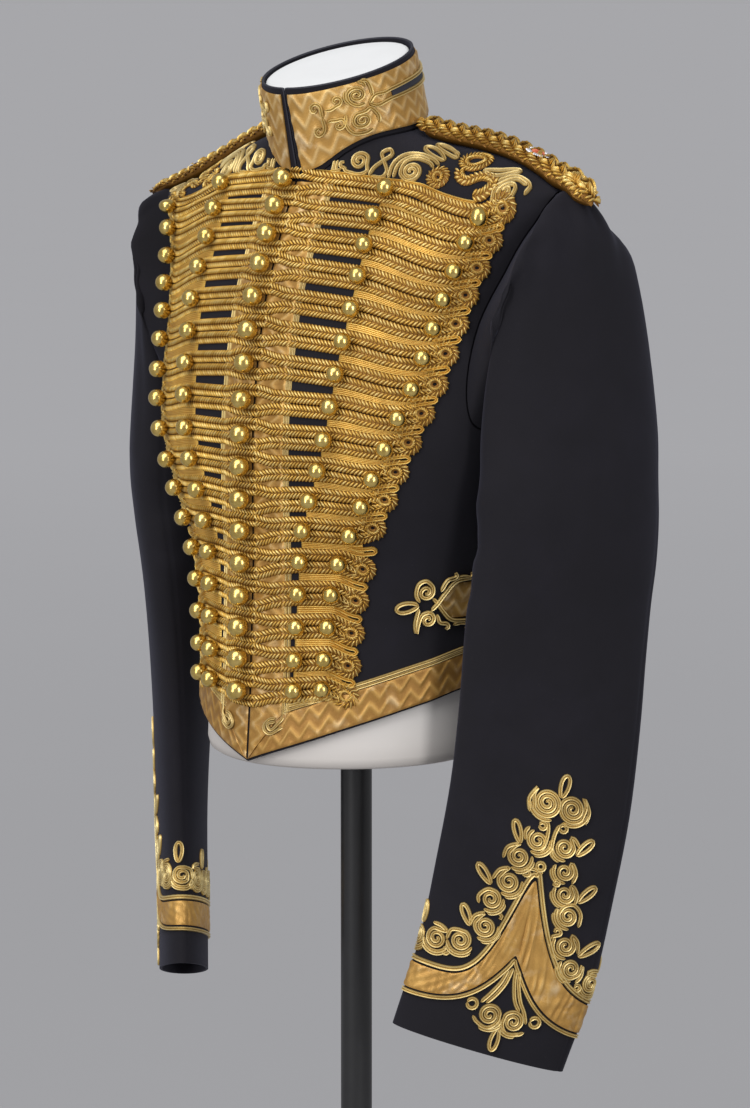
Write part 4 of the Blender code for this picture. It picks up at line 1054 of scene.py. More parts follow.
class YokeChart:
    """Front above the top frog row, by x and distance back from the row's middle."""

    STEP = 0.001
    X0 = 0.004
    X1 = 0.196
    COLS = 96
    BELOW = 0.012            # how far under the row's middle the chart is worked out
    BACK = 0.020             # how far before the row's middle it starts

    def __init__(self):
        xs = np.linspace(self.X0, self.X1, self.COLS + 1)
        zs = np.linspace(1.149, 1.2345, 400)
        wide = smooth_table(TORSO, zs)[:, 0]
        reach = np.arange(0.0, 0.110, self.STEP)
        table = np.zeros((len(xs), len(reach), 1))
        for i, x in enumerate(xs):
            low = frog_path(FROG_ROWS[0], np.array([x]))[0] - self.BELOW
            ridge = np.interp(-x * 1.0004, -wide, zs)
            z = np.linspace(low, ridge, 160)
            at = body_point(turn_of(np.full(160, x), z), z)
            run = run_of(at)
            start = np.interp(low + self.BELOW, z, run)
            table[i, :, 0] = np.interp(reach + start - self.BACK, run, z)
        self.table = table

    def at(self, x, q):
        """Point of the cloth; q is measured from the row's middle."""
        a = (np.abs(x) - self.X0) / (self.X1 - self.X0) * self.COLS
        z = lookup(self.table, a, (q + self.BACK) / self.STEP)[..., 0]
        return cloth_at(turn_of(x, z), z, YOKE_OFF)


GIRTH_Z = 0.80
GIRTH_TURNS = np.linspace(0.0, 2.0, 400)
GIRTH_RUN = run_of(body_point(GIRTH_TURNS, np.full(400, GIRTH_Z)))


def waist_chart(off):
    """Cloth near the hem by distance round from the front edge and height."""
    def at(s, z):
        turn = np.interp(s, GIRTH_RUN, GIRTH_TURNS)
        return cloth_at(turn, z, off)
    return at


# ------------------------------------------------------------- figures in braid
def coil(x, y, radius, start, hand=1.0, tail=(), hole=0.0008):
    """Tightly wound coil that ends outward at `start` degrees, then its tail."""
    turns = (radius - hole) / TRACE_W
    t = np.linspace(0.0, turns * CIRCLE, int(20 + 26 * turns))
    r = hole + TRACE_W * t / CIRCLE
    a = math.radians(start) + hand * (t - t[-1])
    points = circle(x, y, r, a)
    if len(tail):
        lead = points[-6::5]
        points = np.vstack([points[:-6], through(np.vstack([lead, np.array(tail)]), 10)])
    return points


def leaf(x, y, length, width, angle):
    """Pointed loop from its foot in a direction."""
    t = np.linspace(0.03, 0.97, 40) * CIRCLE
    a = 0.5 * length * (1 - np.cos(t))
    b = 0.62 * width * np.sin(t) * np.sin(t / 2) ** 0.6
    return turned(x, y, a, b, angle)


def eyelet(x, y, radius, angle, tail=0.004):
    """Small ring whose two ends cross at its foot."""
    t = np.radians(np.linspace(-205.0, 205.0, 44))
    ends = np.array([(-radius - tail, 0.5 * radius), (-radius - tail, -0.5 * radius)])
    loop = np.vstack([ends[:1], circle(0.0, 0.0, radius, t), ends[1:]])
    return turned(x, y, loop[:, 0], loop[:, 1], angle)


def ring(x, y, radius):
    """Plain closed ring."""
    return circle(x, y, radius, np.linspace(0.0, CIRCLE, 30))


def wrap(x, y, radius, middle, span):
    """Part of a circle that hugs a coil."""
    t = np.linspace(middle - 0.5 * span, middle + 0.5 * span, 30)
    return circle(x, y, radius, np.radians(t))


def line(*points):
    """Smooth run through points."""
    return through(np.array(points), 12)


FIGURES = {"coil": coil, "leaf": leaf, "eyelet": eyelet, "ring": ring, "wrap": wrap, "line": line}
# Across tracing braid: two ridges and the groove between them, with tones that paint shade at its foot and in
# the groove and highlights on the ridges.
TRACE_PROFILE = ((-0.50, 0.0), (-0.31, 1.0), (0.0, 0.45), (0.31, 1.0), (0.50, 0.0))
TRACE_SHADE_AND_HIGHLIGHT = (0.0, 1.0, 0.1, 1.0, 0.0)


def trace(bag, place, flat, width=TRACE_W, rise=TRACE_RISE, lift=0.0, step=0.0014, hand=1.0):
    """Lay tracing braid along a flat figure on a charted surface; `hand` turns its outside."""
    count = max(4, int(run_of(flat)[-1] / step))
    flat = even(flat, count)
    points, out = surface_frame(place, flat[:, 0], flat[:, 1])
    out = out * hand
    points = points + (lift - 0.0002) * out
    profile = np.array(TRACE_PROFILE) * (width, rise)
    # Tones across the braid: painted shade at its foot and in its groove, painted highlight on its two
    # ridges.
    sweep(bag, points, out, profile, np.array(TRACE_SHADE_AND_HIGHLIGHT), 0.6 * width)


def draw(bag, place, figures, lift=0.0, hand=1.0, rise=TRACE_RISE):
    """Lay every figure of a table given in millimetres."""
    for kind, *sizes in figures:
        args = []
        for k, size in enumerate(sizes):
            if isinstance(size, (tuple, list)):
                args.append(np.array(size) * MM)
            else:
                args.append(size * (1.0 if (kind, k) in PLAIN_NUMBERS else MM))
        trace(bag, place, FIGURES[kind](*args), rise=rise, lift=lift, hand=hand)


# Entries of a figure, counted after its kind, that are degrees or signs rather than millimetres.
PLAIN_NUMBERS = {("coil", 3), ("coil", 4), ("leaf", 4), ("eyelet", 3), ("wrap", 3), ("wrap", 4)}

MM = 0.001
YOKE_OFF = 0.0004        # tracing of the yoke over the cloth
# Figures in millimetres.  Collar: distance from the front edge, height.
COLLAR_FIGURES = (
    ("coil", 26, 42, 4.4, 0, -1, [(30.4, 37), (30.2, 34)]),
    ("coil", 26, 26, 4.4, 0, 1, [(30.4, 31), (30.2, 34)]),
    ("coil", 43, 43, 4.6, 250, -1, [(38, 37.5), (33, 38.5)]),
    ("coil", 41, 23, 5.0, 110, 1, [(36, 29), (33, 29)]),
    ("coil", 58.5, 43, 7.6, 215, 1, [(57, 33.5), (63, 33.5)]),
    ("line", (70, 38), (70.5, 46), (69, 53), (64.5, 54.8)),
    ("line", (66.6, 48), (66, 52), (62, 54.5)),
    ("line", (52, 36), (49.5, 42), (51, 49)),
    ("coil", 57.5, 19.5, 7.8, 60, -1, [(66, 28), (70, 20), (69, 13)]),
    ("line", (47, 29), (45.4, 20), (49, 11), (57, 7.6), (63, 9)),
    ("line", (66, 32.5), (72, 38.2), (80, 38.0), (88, 39.4), (110, 40.8), (150, 41.2), (192.5, 41.2)),
    ("line", (66, 32.5), (72, 28.4), (80, 30.2), (88, 31.4), (110, 32.4), (150, 32.8), (192.5, 32.8)),
)
# Yoke: x, and distance back from the middle of the top frog row.
YOKE_FIGURES = (
    ("coil", 40, 17.5, 3.4, 300, 1, [(44, 12), (52, 11.2)]),
    ("line", (30, 11), (36, 11.6), (39, 13.4)),
    ("coil", 53, 21.5, 7.6, 340, -1, [(61.4, 14.5), (56, 11.2), (46, 11.2)]),
    ("line", (64, 11.2), (66.4, 18), (72, 25), (76, 31), (72, 35.8), (68, 31), (72, 25), (77.5, 17),
     (75, 11.4), (66, 11.0)),
    ("coil", 97, 19.5, 8.6, 200, -1, [(89.5, 27), (97, 31.6), (108, 30.5), (113, 27)]),
    ("line", (80.5, 11.4), (80.5, 24), (86, 33.5), (96, 36.6), (108, 34.8), (116, 31)),
    ("line", (84.4, 12.4), (84.6, 23), (89.6, 30.6), (97, 34), (107, 32.6)),
    ("leaf", 118, 36, 27, 7, 154),
    ("leaf", 126, 42, 32, 7, 153),
    ("line", (100, 56), (112, 52), (124, 47)),
    ("coil", 174, 11.5, 8.4, 150, -1, [(168, 19), (177, 21.6), (186, 16)]),
    ("line", (187.4, 8), (188.8, 14), (184, 20), (175, 24.4), (166, 24)),
    ("leaf", 151, 34, 24, 6, -6),
)
# Plaited loops above the top row: x, distance back, radius.
YOKE_ROSETTES = ((120.0, 21.0, 5.2), (140.0, 44.0, 8.2))
YOKE_PLAIT = ((134, 32), (137, 26), (144, 24), (151, 28.5), (158, 29), (164, 23), (160, 16), (152, 14))
# Hip: distance round from the front edge, height.
HIP_FIGURES = (
    ("line", (196, 859.5), (172, 859.5), (161, 857.5), (153, 848), (148.6, 841.5), (144, 836)),
    ("line", (196, 826.5), (172, 826.5), (161, 828.5), (153, 836), (148.6, 841.5), (144, 846)),
    ("coil", 138, 851, 6.2, 40, 1, [(137, 859.6), (131.4, 857), (130.5, 849), (134, 843)]),
    ("coil", 142, 829, 6.2, 150, 1, [(134.6, 824), (134, 818.6), (132.4, 826), (134, 838)]),
    ("leaf", 133.5, 840.5, 17, 7, 190),
    ("coil", 157.5, 822.4, 3.0, 100, 1, [(152, 826.5), (149, 833)]),
    ("coil", 176, 821.4, 3.0, 100, 1, [(170, 825), (164, 824)]),
    ("coil", 160, 863.4, 2.8, 260, -1, [(154, 859), (150, 851)]),
    ("coil", 176, 862.6, 2.8, 260, -1, [(170, 861), (164, 861)]),
    ("coil", 192, 821.4, 3.0, 100, 1, [(186, 825), (181, 824)]),
    ("coil", 192, 862.6, 2.8, 260, -1, [(186, 861), (181, 861)]),
)
HEM_FIGURES = (
    ("coil", 38, 758.5, 3.4, 60, -1, [(44, 763), (54, 764.5), (64, 766)]),
    ("line", (30, 757), (33, 755.4), (36, 754.2)),
)
# Cuff: distance round from the point, height above the edge.
CUFF_FIGURES = (
    ("coil", 11, 202.2, 11.5, 20, 1, [(19.7, 212.3), (24.9, 202.2), (22.8, 192.1)]),
    ("coil", -9, 202.2, 11.1, 160, -1, [(-16.8, 212.5), (-22.5, 203.2), (-21.1, 193.1)]),
    ("leaf", 1, 208.5, 18, 6.0, 98),
    ("ring", 11, 184, 2.6),
    ("line", (7.4, 188), (6, 180), (6.5, 170), (9, 164)),
    ("line", (20.5, 181), (23, 176), (22, 170)),
    ("coil", 12.5, 172, 8.1, 60, 1),
    ("ring", -5, 186, 2.8),
    ("line", (-1.6, 188), (0.6, 180), (1, 170), (-1, 162)),
    ("coil", -9, 172, 8.1, 120, -1, [(-13.4, 180.8), (-16.4, 179.4), (-20.8, 174.7)]),
    ("leaf", 25, 166, 18, 5.1, 66),
    ("leaf", -19, 168, 18, 5.1, 128),
    ("coil", 24, 156, 8.3, 60, 1, [(25.1, 166), (33.6, 160.8), (35.5, 151.7)]),
    ("coil", 15, 146, 3.9, 30, 1, [(10.6, 149.6), (8.1, 148.3)]),
    ("leaf", 40, 129, 18, 5.1, 44),
    ("coil", 27.5, 135, 8.6, 60, 1, [(29.2, 145.3), (36, 142), (40, 133.6)]),
    ("coil", 38, 118, 7.7, 60, -1, [(47.5, 118), (46.3, 112.2)]),
    ("coil", 29, 106, 3, 60, -1),
    ("coil", 38, 96, 8.6, 60, 1, [(40.4, 106.1), (47.3, 101.8), (50.2, 92.9)]),
    ("leaf", 49, 93, 17, 5.1, 58),
    ("coil", 54, 80, 8.3, 60, -1, [(62.8, 85), (64.4, 77.4)]),
    ("ring", 62.5, 68.5, 2.4),
    ("coil", 72, 75.5, 8.3, 120, 1, [(65.7, 83.4), (70.1, 86), (77.3, 86.6)]),
    ("leaf", 87, 83, 17, 5.1, 86),
    ("coil", 90, 72.5, 7.7, 60, -1, [(98.5, 76.8), (99.7, 69.4)]),
    ("ring", 99, 65, 2.4),
    ("coil", 108, 72.5, 8.1, 120, 1, [(101.6, 80), (106.1, 82.8), (113.3, 83.3)]),
    ("leaf", 121, 80, 16, 5.1, 84),
    ("coil", 126, 71.5, 7.7, 60, -1, [(134.5, 75.8), (135.7, 68.4)]),
    ("coil", 144, 71.5, 8.1, 120, 1, [(137.6, 79), (142.1, 81.8), (149.3, 82.3)]),
    ("coil", -13, 154, 6.9, 120, -1, [(-18.5, 160.7), (-22.3, 154), (-20.7, 146.3)]),
    ("ring", -8.5, 144, 2.2),
    ("coil", -17, 137, 7.2, 120, -1, [(-22.2, 144.3), (-26.4, 139.1), (-26.5, 131.1)]),
    ("leaf", -28, 133, 19, 5.1, 130),
    ("coil", -23, 121, 8.1, 60, 1, [(-26.3, 130.3), (-32.9, 124.5), (-33.1, 114.3)]),
    ("coil", -17, 107, 3.4, 200, 1, [(-14.4, 102.5), (-15.6, 100.4)]),
    ("coil", -26, 98, 8.1, 120, -1, [(-30.4, 106.8), (-35.3, 102.8), (-37.4, 94)]),
    ("leaf", -38, 92, 21, 5.1, 140),
    ("coil", -35, 81.5, 8.1, 200, -1, [(-43.8, 85.9), (-44.8, 77.7), (-41.7, 71.5)]),
    ("ring", -44.5, 68, 2.4),
    ("coil", -56, 73, 7.7, 120, 1, [(-50.5, 80.8), (-55.1, 83.1), (-62.1, 83.1)]),
    ("leaf", -68, 79, 16, 5.1, 96),
    ("coil", -74, 71.5, 7.7, 120, -1, [(-82.5, 75.8), (-83.7, 68.4)]),
    ("coil", -92, 71.5, 8.1, 60, 1, [(-85.6, 79), (-90.1, 81.8), (-97.3, 82.3)]),
    ("leaf", -104, 79, 16, 5.1, 92),
    ("coil", -110, 71.5, 7.7, 120, -1, [(-118.5, 75.8), (-119.7, 68.4)]),
    ("coil", -128, 71.5, 8.1, 60, 1, [(-121.6, 79), (-126.1, 81.8), (-133.3, 82.3)]),
    ("eyelet", 6, 153, 3.0, 90, 3.0),
    ("ring", 31, 35.5, 3.8),
    ("ring", -20.5, 34.0, 3.8),
    ("coil", 15.5, 30.8, 8.6, 210, 1, [(14.2, 20.5), (23, 22.8), (27.5, 26.8)]),
    ("coil", -4, 30.4, 8.6, 330, -1, [(-1.6, 20.3), (-10.1, 21.2), (-15, 24.3)]),
    ("leaf", 5.6, 23.5, 19, 5.6, 268),
    ("line", (12.5, 70), (15, 58), (20, 47), (25, 38.5)),
    ("line", (9.4, 71), (11.4, 58), (15.8, 47), (21, 39)),
    ("line", (7.0, 71), (4.6, 58), (0, 46), (-6, 39)),
    ("line", (4.0, 70), (1, 58), (-4, 47), (-10, 39), (-14, 31)),
)
WRAPPED_FROM = 6.0       # coils at least this big have braid hugging them
WRAP_FIRST = 1.9         # from a coil's edge to the first run round it
WRAP_STEP = 1.75
# Spans in degrees of the runs that hug a coil, by where on the cuff it lies.
WRAPS_TOP = (110,)
WRAPS_FOOT = (130, 90)
WRAPS_BAND = (150, 110)
WRAPS_LEFT = (130, 90)
WRAPS_RIGHT = (130, 80)


def wraps_of(x, y):
    """Middle and spans of the runs that hug a coil of the cuff."""
    if y > 190:
        return (300 if x > 0 else 240), WRAPS_TOP
    if y < 35:
        return (250 if x > 5 else 290), WRAPS_FOOT
    if abs(x) > 50:
        return 270, WRAPS_BAND
    return (228, WRAPS_LEFT) if x > 5 else (320, WRAPS_RIGHT)


def with_wraps(figures):
    """Figures with the runs of braid that hug each large coil laid after it."""
    every = []
    for figure in figures:
        every.append(figure)
        if figure[0] == "coil" and figure[3] >= WRAPPED_FROM:
            x, y, radius = figure[1:4]
            middle, spans = wraps_of(x, y)
            for k, span in enumerate(spans):
                every.append(("wrap", x, y, round(radius + WRAP_FIRST + WRAP_STEP * k, 1), middle, span))
    return every


# ------------------------------------------------------------------ the looks
class Nodes:
    """Short way to place and join a tree's nodes."""

    def __init__(self, tree):
        self.tree = tree
        self.x = 0

    def new(self, kind, y=0, wide=180):
        """Node placed right of the last one."""
        node = self.tree.nodes.new(kind)
        node.location = (self.x, y)
        self.x += wide
        return node

    def join(self, source, target):
        """Link an output to an input."""
        self.tree.links.new(source, target)

    def put(self, kind, links=None, **values):
        """Place a node; `links` join its inputs, values set them."""
        node = self.new(kind)
        for name, value in values.items():
            if name.startswith("_"):
                setattr(node, name[1:], value)
            else:
                node.inputs[name.replace("_", " ")].default_value = value
        for name, source in (links or {}).items():
            self.join(source, node.inputs[name])
        return node

    def maths(self, how, a, b):
        """Maths node of two values or sockets."""
        node = self.new("ShaderNodeMath", -200, 120)
        node.operation = how
        for k, value in enumerate((a, b)):
            if isinstance(value, (int, float)):
                node.inputs[k].default_value = value
            else:
                self.join(value, node.inputs[k])
        return node.outputs[0]

    def ramp(self, source, *stops):
        """Colour ramp of (place, colour) stops."""
        node = self.new("ShaderNodeValToRGB", 0, 240)
        ramp = node.color_ramp
        while len(ramp.elements) < len(stops):
            ramp.elements.new(0.5)
        for element, (place, colour) in zip(ramp.elements, stops):
            element.position = place
            element.color = (*colour, 1.0)
        self.join(source, node.inputs[0])
        return node.outputs[0]

    def mix(self, factor, a, b):
        """Mix of two colours, given or linked."""
        node = self.new("ShaderNodeMix")
        node.data_type = "RGBA"
        for k, value in ((0, factor), (6, a), (7, b)):
            if hasattr(value, "node"):
                self.join(value, node.inputs[k])
            else:
                node.inputs[k].default_value = value if k == 0 else (*value, 1.0)
        return node.outputs[2]

    def object_place(self):
        """Place on the object, for textures."""
        return self.put("ShaderNodeTexCoord").outputs["Object"]

    def tone(self):
        """Tone that the mesh carries: painted shade and highlights, with random variation per stitch."""
        node = self.put("ShaderNodeAttribute", _attribute_name="tone", _attribute_type="GEOMETRY")
        return node.outputs["Fac"]

    def use(self, name, **values):
        """Place a shared node group with its values; gives its outputs."""
        shared = shared_group(name)
        node = self.new("ShaderNodeGroup", 200, 200)
        node.node_tree = shared
        for key, value in values.items():
            node.inputs[key.replace("_", " ")].default_value = value
        return node.outputs


def fill_patina(n, start, end):
    """Broad uneven ageing: a mask of worn or stained patches."""
    noise = n.put("ShaderNodeTexNoise", {"Vector": n.object_place(), "Scale": start["Scale"]},
                  Detail=5.0, Roughness=0.62, Distortion=0.3)
    shift = n.maths("SUBTRACT", noise.outputs["Fac"], n.maths("SUBTRACT", 1.0, start["Cover"]))
    steep = n.maths("MULTIPLY", shift, n.maths("MULTIPLY", start["Contrast"], 3.0))
    clamp = n.put("ShaderNodeClamp", {"Value": n.maths("ADD", steep, 0.5)})
    n.join(clamp.outputs[0], end["Mask"])


def fill_nap(n, start, end):
    """Milled wool: felted fibres over a faint twill."""
    place = n.object_place()
    fibre = n.put("ShaderNodeTexNoise", {"Vector": place, "Scale": start["Fibre Scale"]},
                  Detail=3.0, Roughness=0.7)
    twill = n.put("ShaderNodeTexWave", {"Vector": place, "Scale": start["Twill Scale"]},
                  _bands_direction="DIAGONAL", Distortion=2.0, Detail=1.0)
    height = n.maths("ADD", fibre.outputs["Fac"], n.maths("MULTIPLY", twill.outputs["Fac"], start["Twill"]))
    n.join(height, end["Height"])
    broad = n.put("ShaderNodeTexNoise", {"Vector": place}, Scale=26.0, Detail=6.0, Roughness=0.6)
    both = n.maths("ADD", n.maths("MULTIPLY", height, 0.45), broad.outputs["Fac"])
    n.join(n.maths("MULTIPLY", both, 0.68), end["Shade"])
    speck = n.put("ShaderNodeTexVoronoi", {"Vector": place}, Scale=120.0, Randomness=1.0)
    n.join(n.maths("GREATER_THAN", 0.045, speck.outputs["Distance"]), end["Lint"])


def fill_thread(n, start, end):
    """Metal thread: fine wrapped strands with bright and dull runs, over the painted shade and highlights of
    the mesh's tone.
    """
    place = n.object_place()
    strand = n.put("ShaderNodeTexNoise", {"Vector": place, "Scale": start["Strand Scale"]},
                   Detail=2.0, Roughness=0.6, Distortion=0.6)
    runs = n.put("ShaderNodeTexNoise", {"Vector": place, "Scale": start["Run Scale"]},
                 Detail=4.0, Roughness=0.7)
    # The mesh's tone brings painted shade and highlights; the noise adds random strand and run variation.
    told = n.maths("MULTIPLY", n.tone(), start["Tone Weight"])
    rest = n.maths("SUBTRACT", 1.0, start["Tone Weight"])
    fine = n.maths("MULTIPLY", strand.outputs["Fac"], 0.55)
    both = n.maths("ADD", fine, n.maths("MULTIPLY", runs.outputs["Fac"], 0.45))
    n.join(n.maths("ADD", told, n.maths("MULTIPLY", both, rest)), end["Shade"])
    n.join(strand.outputs["Fac"], end["Height"])


GROUPS = {
    # how it is filled, its inputs with their usual, least and most values, its outputs
    "Patina": (
        fill_patina,
        (("Scale", 14.0, 0.1, 400.0), ("Contrast", 1.6, 0.1, 8.0), ("Cover", 0.5, 0.0, 1.0)),
        ("Mask",),
    ),
    "Wool Nap": (
        fill_nap,
        (("Fibre Scale", 2600.0, 10.0, 9000.0), ("Twill Scale", 900.0, 10.0, 4000.0),
         ("Twill", 0.35, 0.0, 1.0)),
        ("Shade", "Height", "Lint"),
    ),
    "Metal Thread": (
        fill_thread,
        (("Strand Scale", 1500.0, 10.0, 9000.0), ("Run Scale", 60.0, 1.0, 900.0),
         ("Tone Weight", 0.4, 0.0, 1.0)),
        ("Shade", "Height"),
    ),
}


def shared_group(name):
    """Shader node group of a name, built the first time it is asked for."""
    found = bpy.data.node_groups.get(name)
    if found:
        return found
    fill, inputs, outputs = GROUPS[name]
    group = bpy.data.node_groups.new(name, "ShaderNodeTree")
    for entry, usual, least, most in inputs:
        made = group.interface.new_socket(name=entry, in_out="INPUT", socket_type="NodeSocketFloat")
        made.default_value = usual
        made.min_value, made.max_value = least, most
    for entry in outputs:
        group.interface.new_socket(name=entry, in_out="OUTPUT", socket_type="NodeSocketFloat")
    nodes = Nodes(group)
    start = nodes.put("NodeGroupInput")
    end = nodes.put("NodeGroupOutput")
    fill(nodes, start.outputs, end.inputs)
    return group


def bump(n, shader, height, strength, distance):
    """Feed a height to the shader's normal."""
    node = n.put("ShaderNodeBump", {"Height": height}, Strength=strength, Distance=distance)
    n.join(node.outputs["Normal"], shader.inputs["Normal"])


def wool(n, shader):
    """Near-black navy broadcloth."""
    nap = n.use("Patina", Scale=9.0, Contrast=1.0)
    cloth = n.use("Wool Nap")
    colour = n.ramp(cloth["Shade"], (0.30, (0.0042, 0.0037, 0.0058)), (0.75, (0.0108, 0.0096, 0.0146)))
    colour = n.mix(nap["Mask"], (0.0068, 0.0060, 0.0084), colour)
    colour = n.mix(n.maths("MULTIPLY", cloth["Lint"], 0.10), colour, (0.16, 0.15, 0.15))
    n.join(colour, shader.inputs["Base Color"])
    shader.inputs["Roughness"].default_value = 0.88
    shader.inputs["Sheen Weight"].default_value = 0.08
    shader.inputs["Sheen Roughness"].default_value = 0.45
    shader.inputs["Sheen Tint"].default_value = (0.62, 0.64, 0.95, 1.0)
    shader.inputs["Specular IOR Level"].default_value = 0.25
    bump(n, shader, cloth["Height"], 0.35, 0.0004)


def gold(n, shader, dark, middle, light, rough, metal, strands, runs, weight, height, rubbed=None):
    """Gold thread goods: lace, braids and cords differ only in these values."""
    thread = n.use("Metal Thread", Strand_Scale=strands, Run_Scale=runs, Tone_Weight=weight)
    # The ramp colours the tone's painted shade and highlights and the random runs: `dark` is also the colour
    # of painted shade, `light` of painted highlight.
    colour = n.ramp(thread["Shade"], (0.18, dark), (0.52, middle), (0.86, light))
    stain = n.use("Patina", Scale=22.0, Contrast=1.1, Cover=0.42)
    dulled = n.mix(0.45, colour, dark)
    colour = n.mix(stain["Mask"], dulled, colour)
    if rubbed:
        rub = n.use("Patina", Scale=55.0, Contrast=1.5, Cover=0.36)
        colour = n.mix(n.maths("MULTIPLY", rub["Mask"], n.tone()), colour, rubbed)
    n.join(colour, shader.inputs["Base Color"])
    shine = n.maths("ADD", n.maths("MULTIPLY", thread["Height"], 0.22), rough - 0.11)
    n.join(shine, shader.inputs["Roughness"])
    shader.inputs["Metallic"].default_value = metal
    bump(n, shader, thread["Height"], 0.6, height)


def brass(n, shader):
    """Polished gilt buttons with a greenish cast."""
    mask = n.use("Patina", Scale=180.0, Contrast=1.0, Cover=0.45)["Mask"]
    n.join(n.mix(mask, (0.60, 0.42, 0.115), (0.80, 0.60, 0.21)), shader.inputs["Base Color"])
    fine = n.use("Patina", Scale=900.0, Contrast=0.6, Cover=0.5)["Mask"]
    n.join(n.maths("ADD", n.maths("MULTIPLY", fine, 0.10), 0.20), shader.inputs["Roughness"])
    shader.inputs["Metallic"].default_value = 1.0


def grain(n, shader, scale, rough, metal=0.0):
    """Fine uneven roughness and its bump."""
    fine = n.use("Patina", Scale=scale, Contrast=0.4, Cover=0.5)["Mask"]
    n.join(n.maths("ADD", n.maths("MULTIPLY", fine, 0.12), rough - 0.06), shader.inputs["Roughness"])
    shader.inputs["Metallic"].default_value = metal
    bump(n, shader, fine, 0.25, 0.0001)


def mottled(n, shader, low, high, scale, rough, metal=0.0):
    """Quiet mottled finish for stand, star and piping."""
    mask = n.use("Patina", Scale=scale, Contrast=0.5, Cover=0.5)["Mask"]
    n.join(n.mix(mask, low, high), shader.inputs["Base Color"])
    grain(n, shader, scale * 40.0, rough, metal)


def jersey(n, shader):
    """Matt white jersey over the form, with painted shadow making it darker toward its foot, under the tunic.
    """
    parts = n.put("ShaderNodeSeparateXYZ", {"Vector": n.object_place()})
    # Painted shadow: the colour darkens toward the form's foot.
    colour = n.ramp(n.maths("SUBTRACT", parts.outputs["Z"], 0.60),
                    (0.11, (0.50, 0.465, 0.435)), (0.17, (0.66, 0.635, 0.61)), (0.60, (0.82, 0.83, 0.83)))
    mask = n.use("Patina", Scale=30.0, Contrast=0.5, Cover=0.5)["Mask"]
    # Dust patches over the painted shadow.
    shadow_and_dust = n.mix(n.maths("MULTIPLY", mask, 0.12), colour, (0.52, 0.50, 0.48))
    n.join(shadow_and_dust, shader.inputs["Base Color"])
    grain(n, shader, 1200.0, 0.72)


def paper(n, shader, shade):
    """Floor of the studio, with painted shade making it darker near the stand and a little lighter far away.
    """
    mask = n.use("Patina", Scale=1.4, Contrast=0.25, Cover=0.5)["Mask"]
    away = n.put("ShaderNodeVectorMath", {"Vector": n.object_place()}, _operation="LENGTH")
    # Painted shade: the floor's colour is darker near the stand and lighter far away.
    grey = n.ramp(n.maths("MULTIPLY", away.outputs["Value"], 0.1),
                  (0.12, tuple(0.86 * c for c in shade)), (0.90, tuple(1.03 * c for c in shade)))
    n.join(n.mix(n.maths("MULTIPLY", mask, 0.02), grey, (1.0, 1.0, 1.0)), shader.inputs["Base Color"])
    shader.inputs["Roughness"].default_value = 0.95
    shader.inputs["Specular IOR Level"].default_value = 0.1


LOOKS = {
    "navy_broadcloth": (wool,),
    "gilt_brass": (brass,),
    "white_jersey": (jersey,),
    "studio_paper": (paper,),
    # dark, middle, light, roughness, metal, strands, runs, weight of the tone that carries painted shade and
    # highlights, bump, rubbed colour
    "braid_gold": (gold, (0.185, 0.082, 0.010), (0.74, 0.445, 0.076), (1.0, 0.82, 0.33),
                   0.44, 0.66, 1700.0, 45.0, 0.80, 0.0002),
    "filling_gold": (gold, (0.30, 0.135, 0.016), (0.90, 0.560, 0.105), (1.0, 0.86, 0.32),
                     0.42, 0.55, 1700.0, 45.0, 0.60, 0.0002),
    "tracing_braid": (gold, (0.150, 0.075, 0.012), (0.86, 0.620, 0.210), (1.0, 0.88, 0.48),
                      0.44, 0.55, 1500.0, 70.0, 0.62, 0.0002),
    "lace_gold": (gold, (0.260, 0.120, 0.022), (0.60, 0.350, 0.090), (0.90, 0.66, 0.30),
                  0.46, 0.50, 1200.0, 90.0, 0.60, 0.0003, (0.84, 0.68, 0.44)),
    # low, high, scale, roughness, metal
    "black_steel": (mottled, (0.010, 0.010, 0.011), (0.017, 0.017, 0.018), 40.0, 0.42),
    "dark_piping": (mottled, (0.012, 0.012, 0.020), (0.024, 0.024, 0.036), 60.0, 0.62),
    "silver_wire": (mottled, (0.55, 0.54, 0.56), (0.86, 0.86, 0.90), 300.0, 0.34, 0.55),
    "red_silk": (mottled, (0.50, 0.085, 0.040), (0.78, 0.23, 0.10), 500.0, 0.55),
}


def look(name, *more):
    """Material of a name, built the first time it is asked for; `more` goes to its builder."""
    found = bpy.data.materials.get(name)
    if found:
        return found
    made = bpy.data.materials.new(name)
    made.use_nodes = True
    build, *values = LOOKS[name]
    build(Nodes(made.node_tree), made.node_tree.nodes["Principled BSDF"], *values, *more)
    return made


# ------------------------------------------------------------- what a user sets
class TunicSizes(bpy.types.PropertyGroup):
    """Sizes a user would change."""

    braid_rise: bpy.props.FloatProperty(
        name="Braid Rise", description="Height of a frog braid", default=BRAID_RISE,
        min=0.001, max=0.004, subtype="DISTANCE", unit="LENGTH")
    zigzag_rise: bpy.props.FloatProperty(
        name="Zigzag Rise", description="Height of the lace's raised zigzag", default=0.0007,
        min=0.0, max=0.002, subtype="DISTANCE", unit="LENGTH")
    zigzag_period: bpy.props.FloatProperty(
        name="Zigzag Length", description="Length of one zigzag along a lace", default=0.0155,
        min=0.006, max=0.03, subtype="DISTANCE", unit="LENGTH")
    button_radius: bpy.props.FloatProperty(
        name="Button Radius", description="Radius of the side ball buttons", default=BALL_R,
        min=0.004, max=0.009, subtype="DISTANCE", unit="LENGTH")
    centre_radius: bpy.props.FloatProperty(
        name="Centre Button Radius", description="Radius of the centre ball buttons", default=CENTRE_BALL_R,
        min=0.004, max=0.010, subtype="DISTANCE", unit="LENGTH")


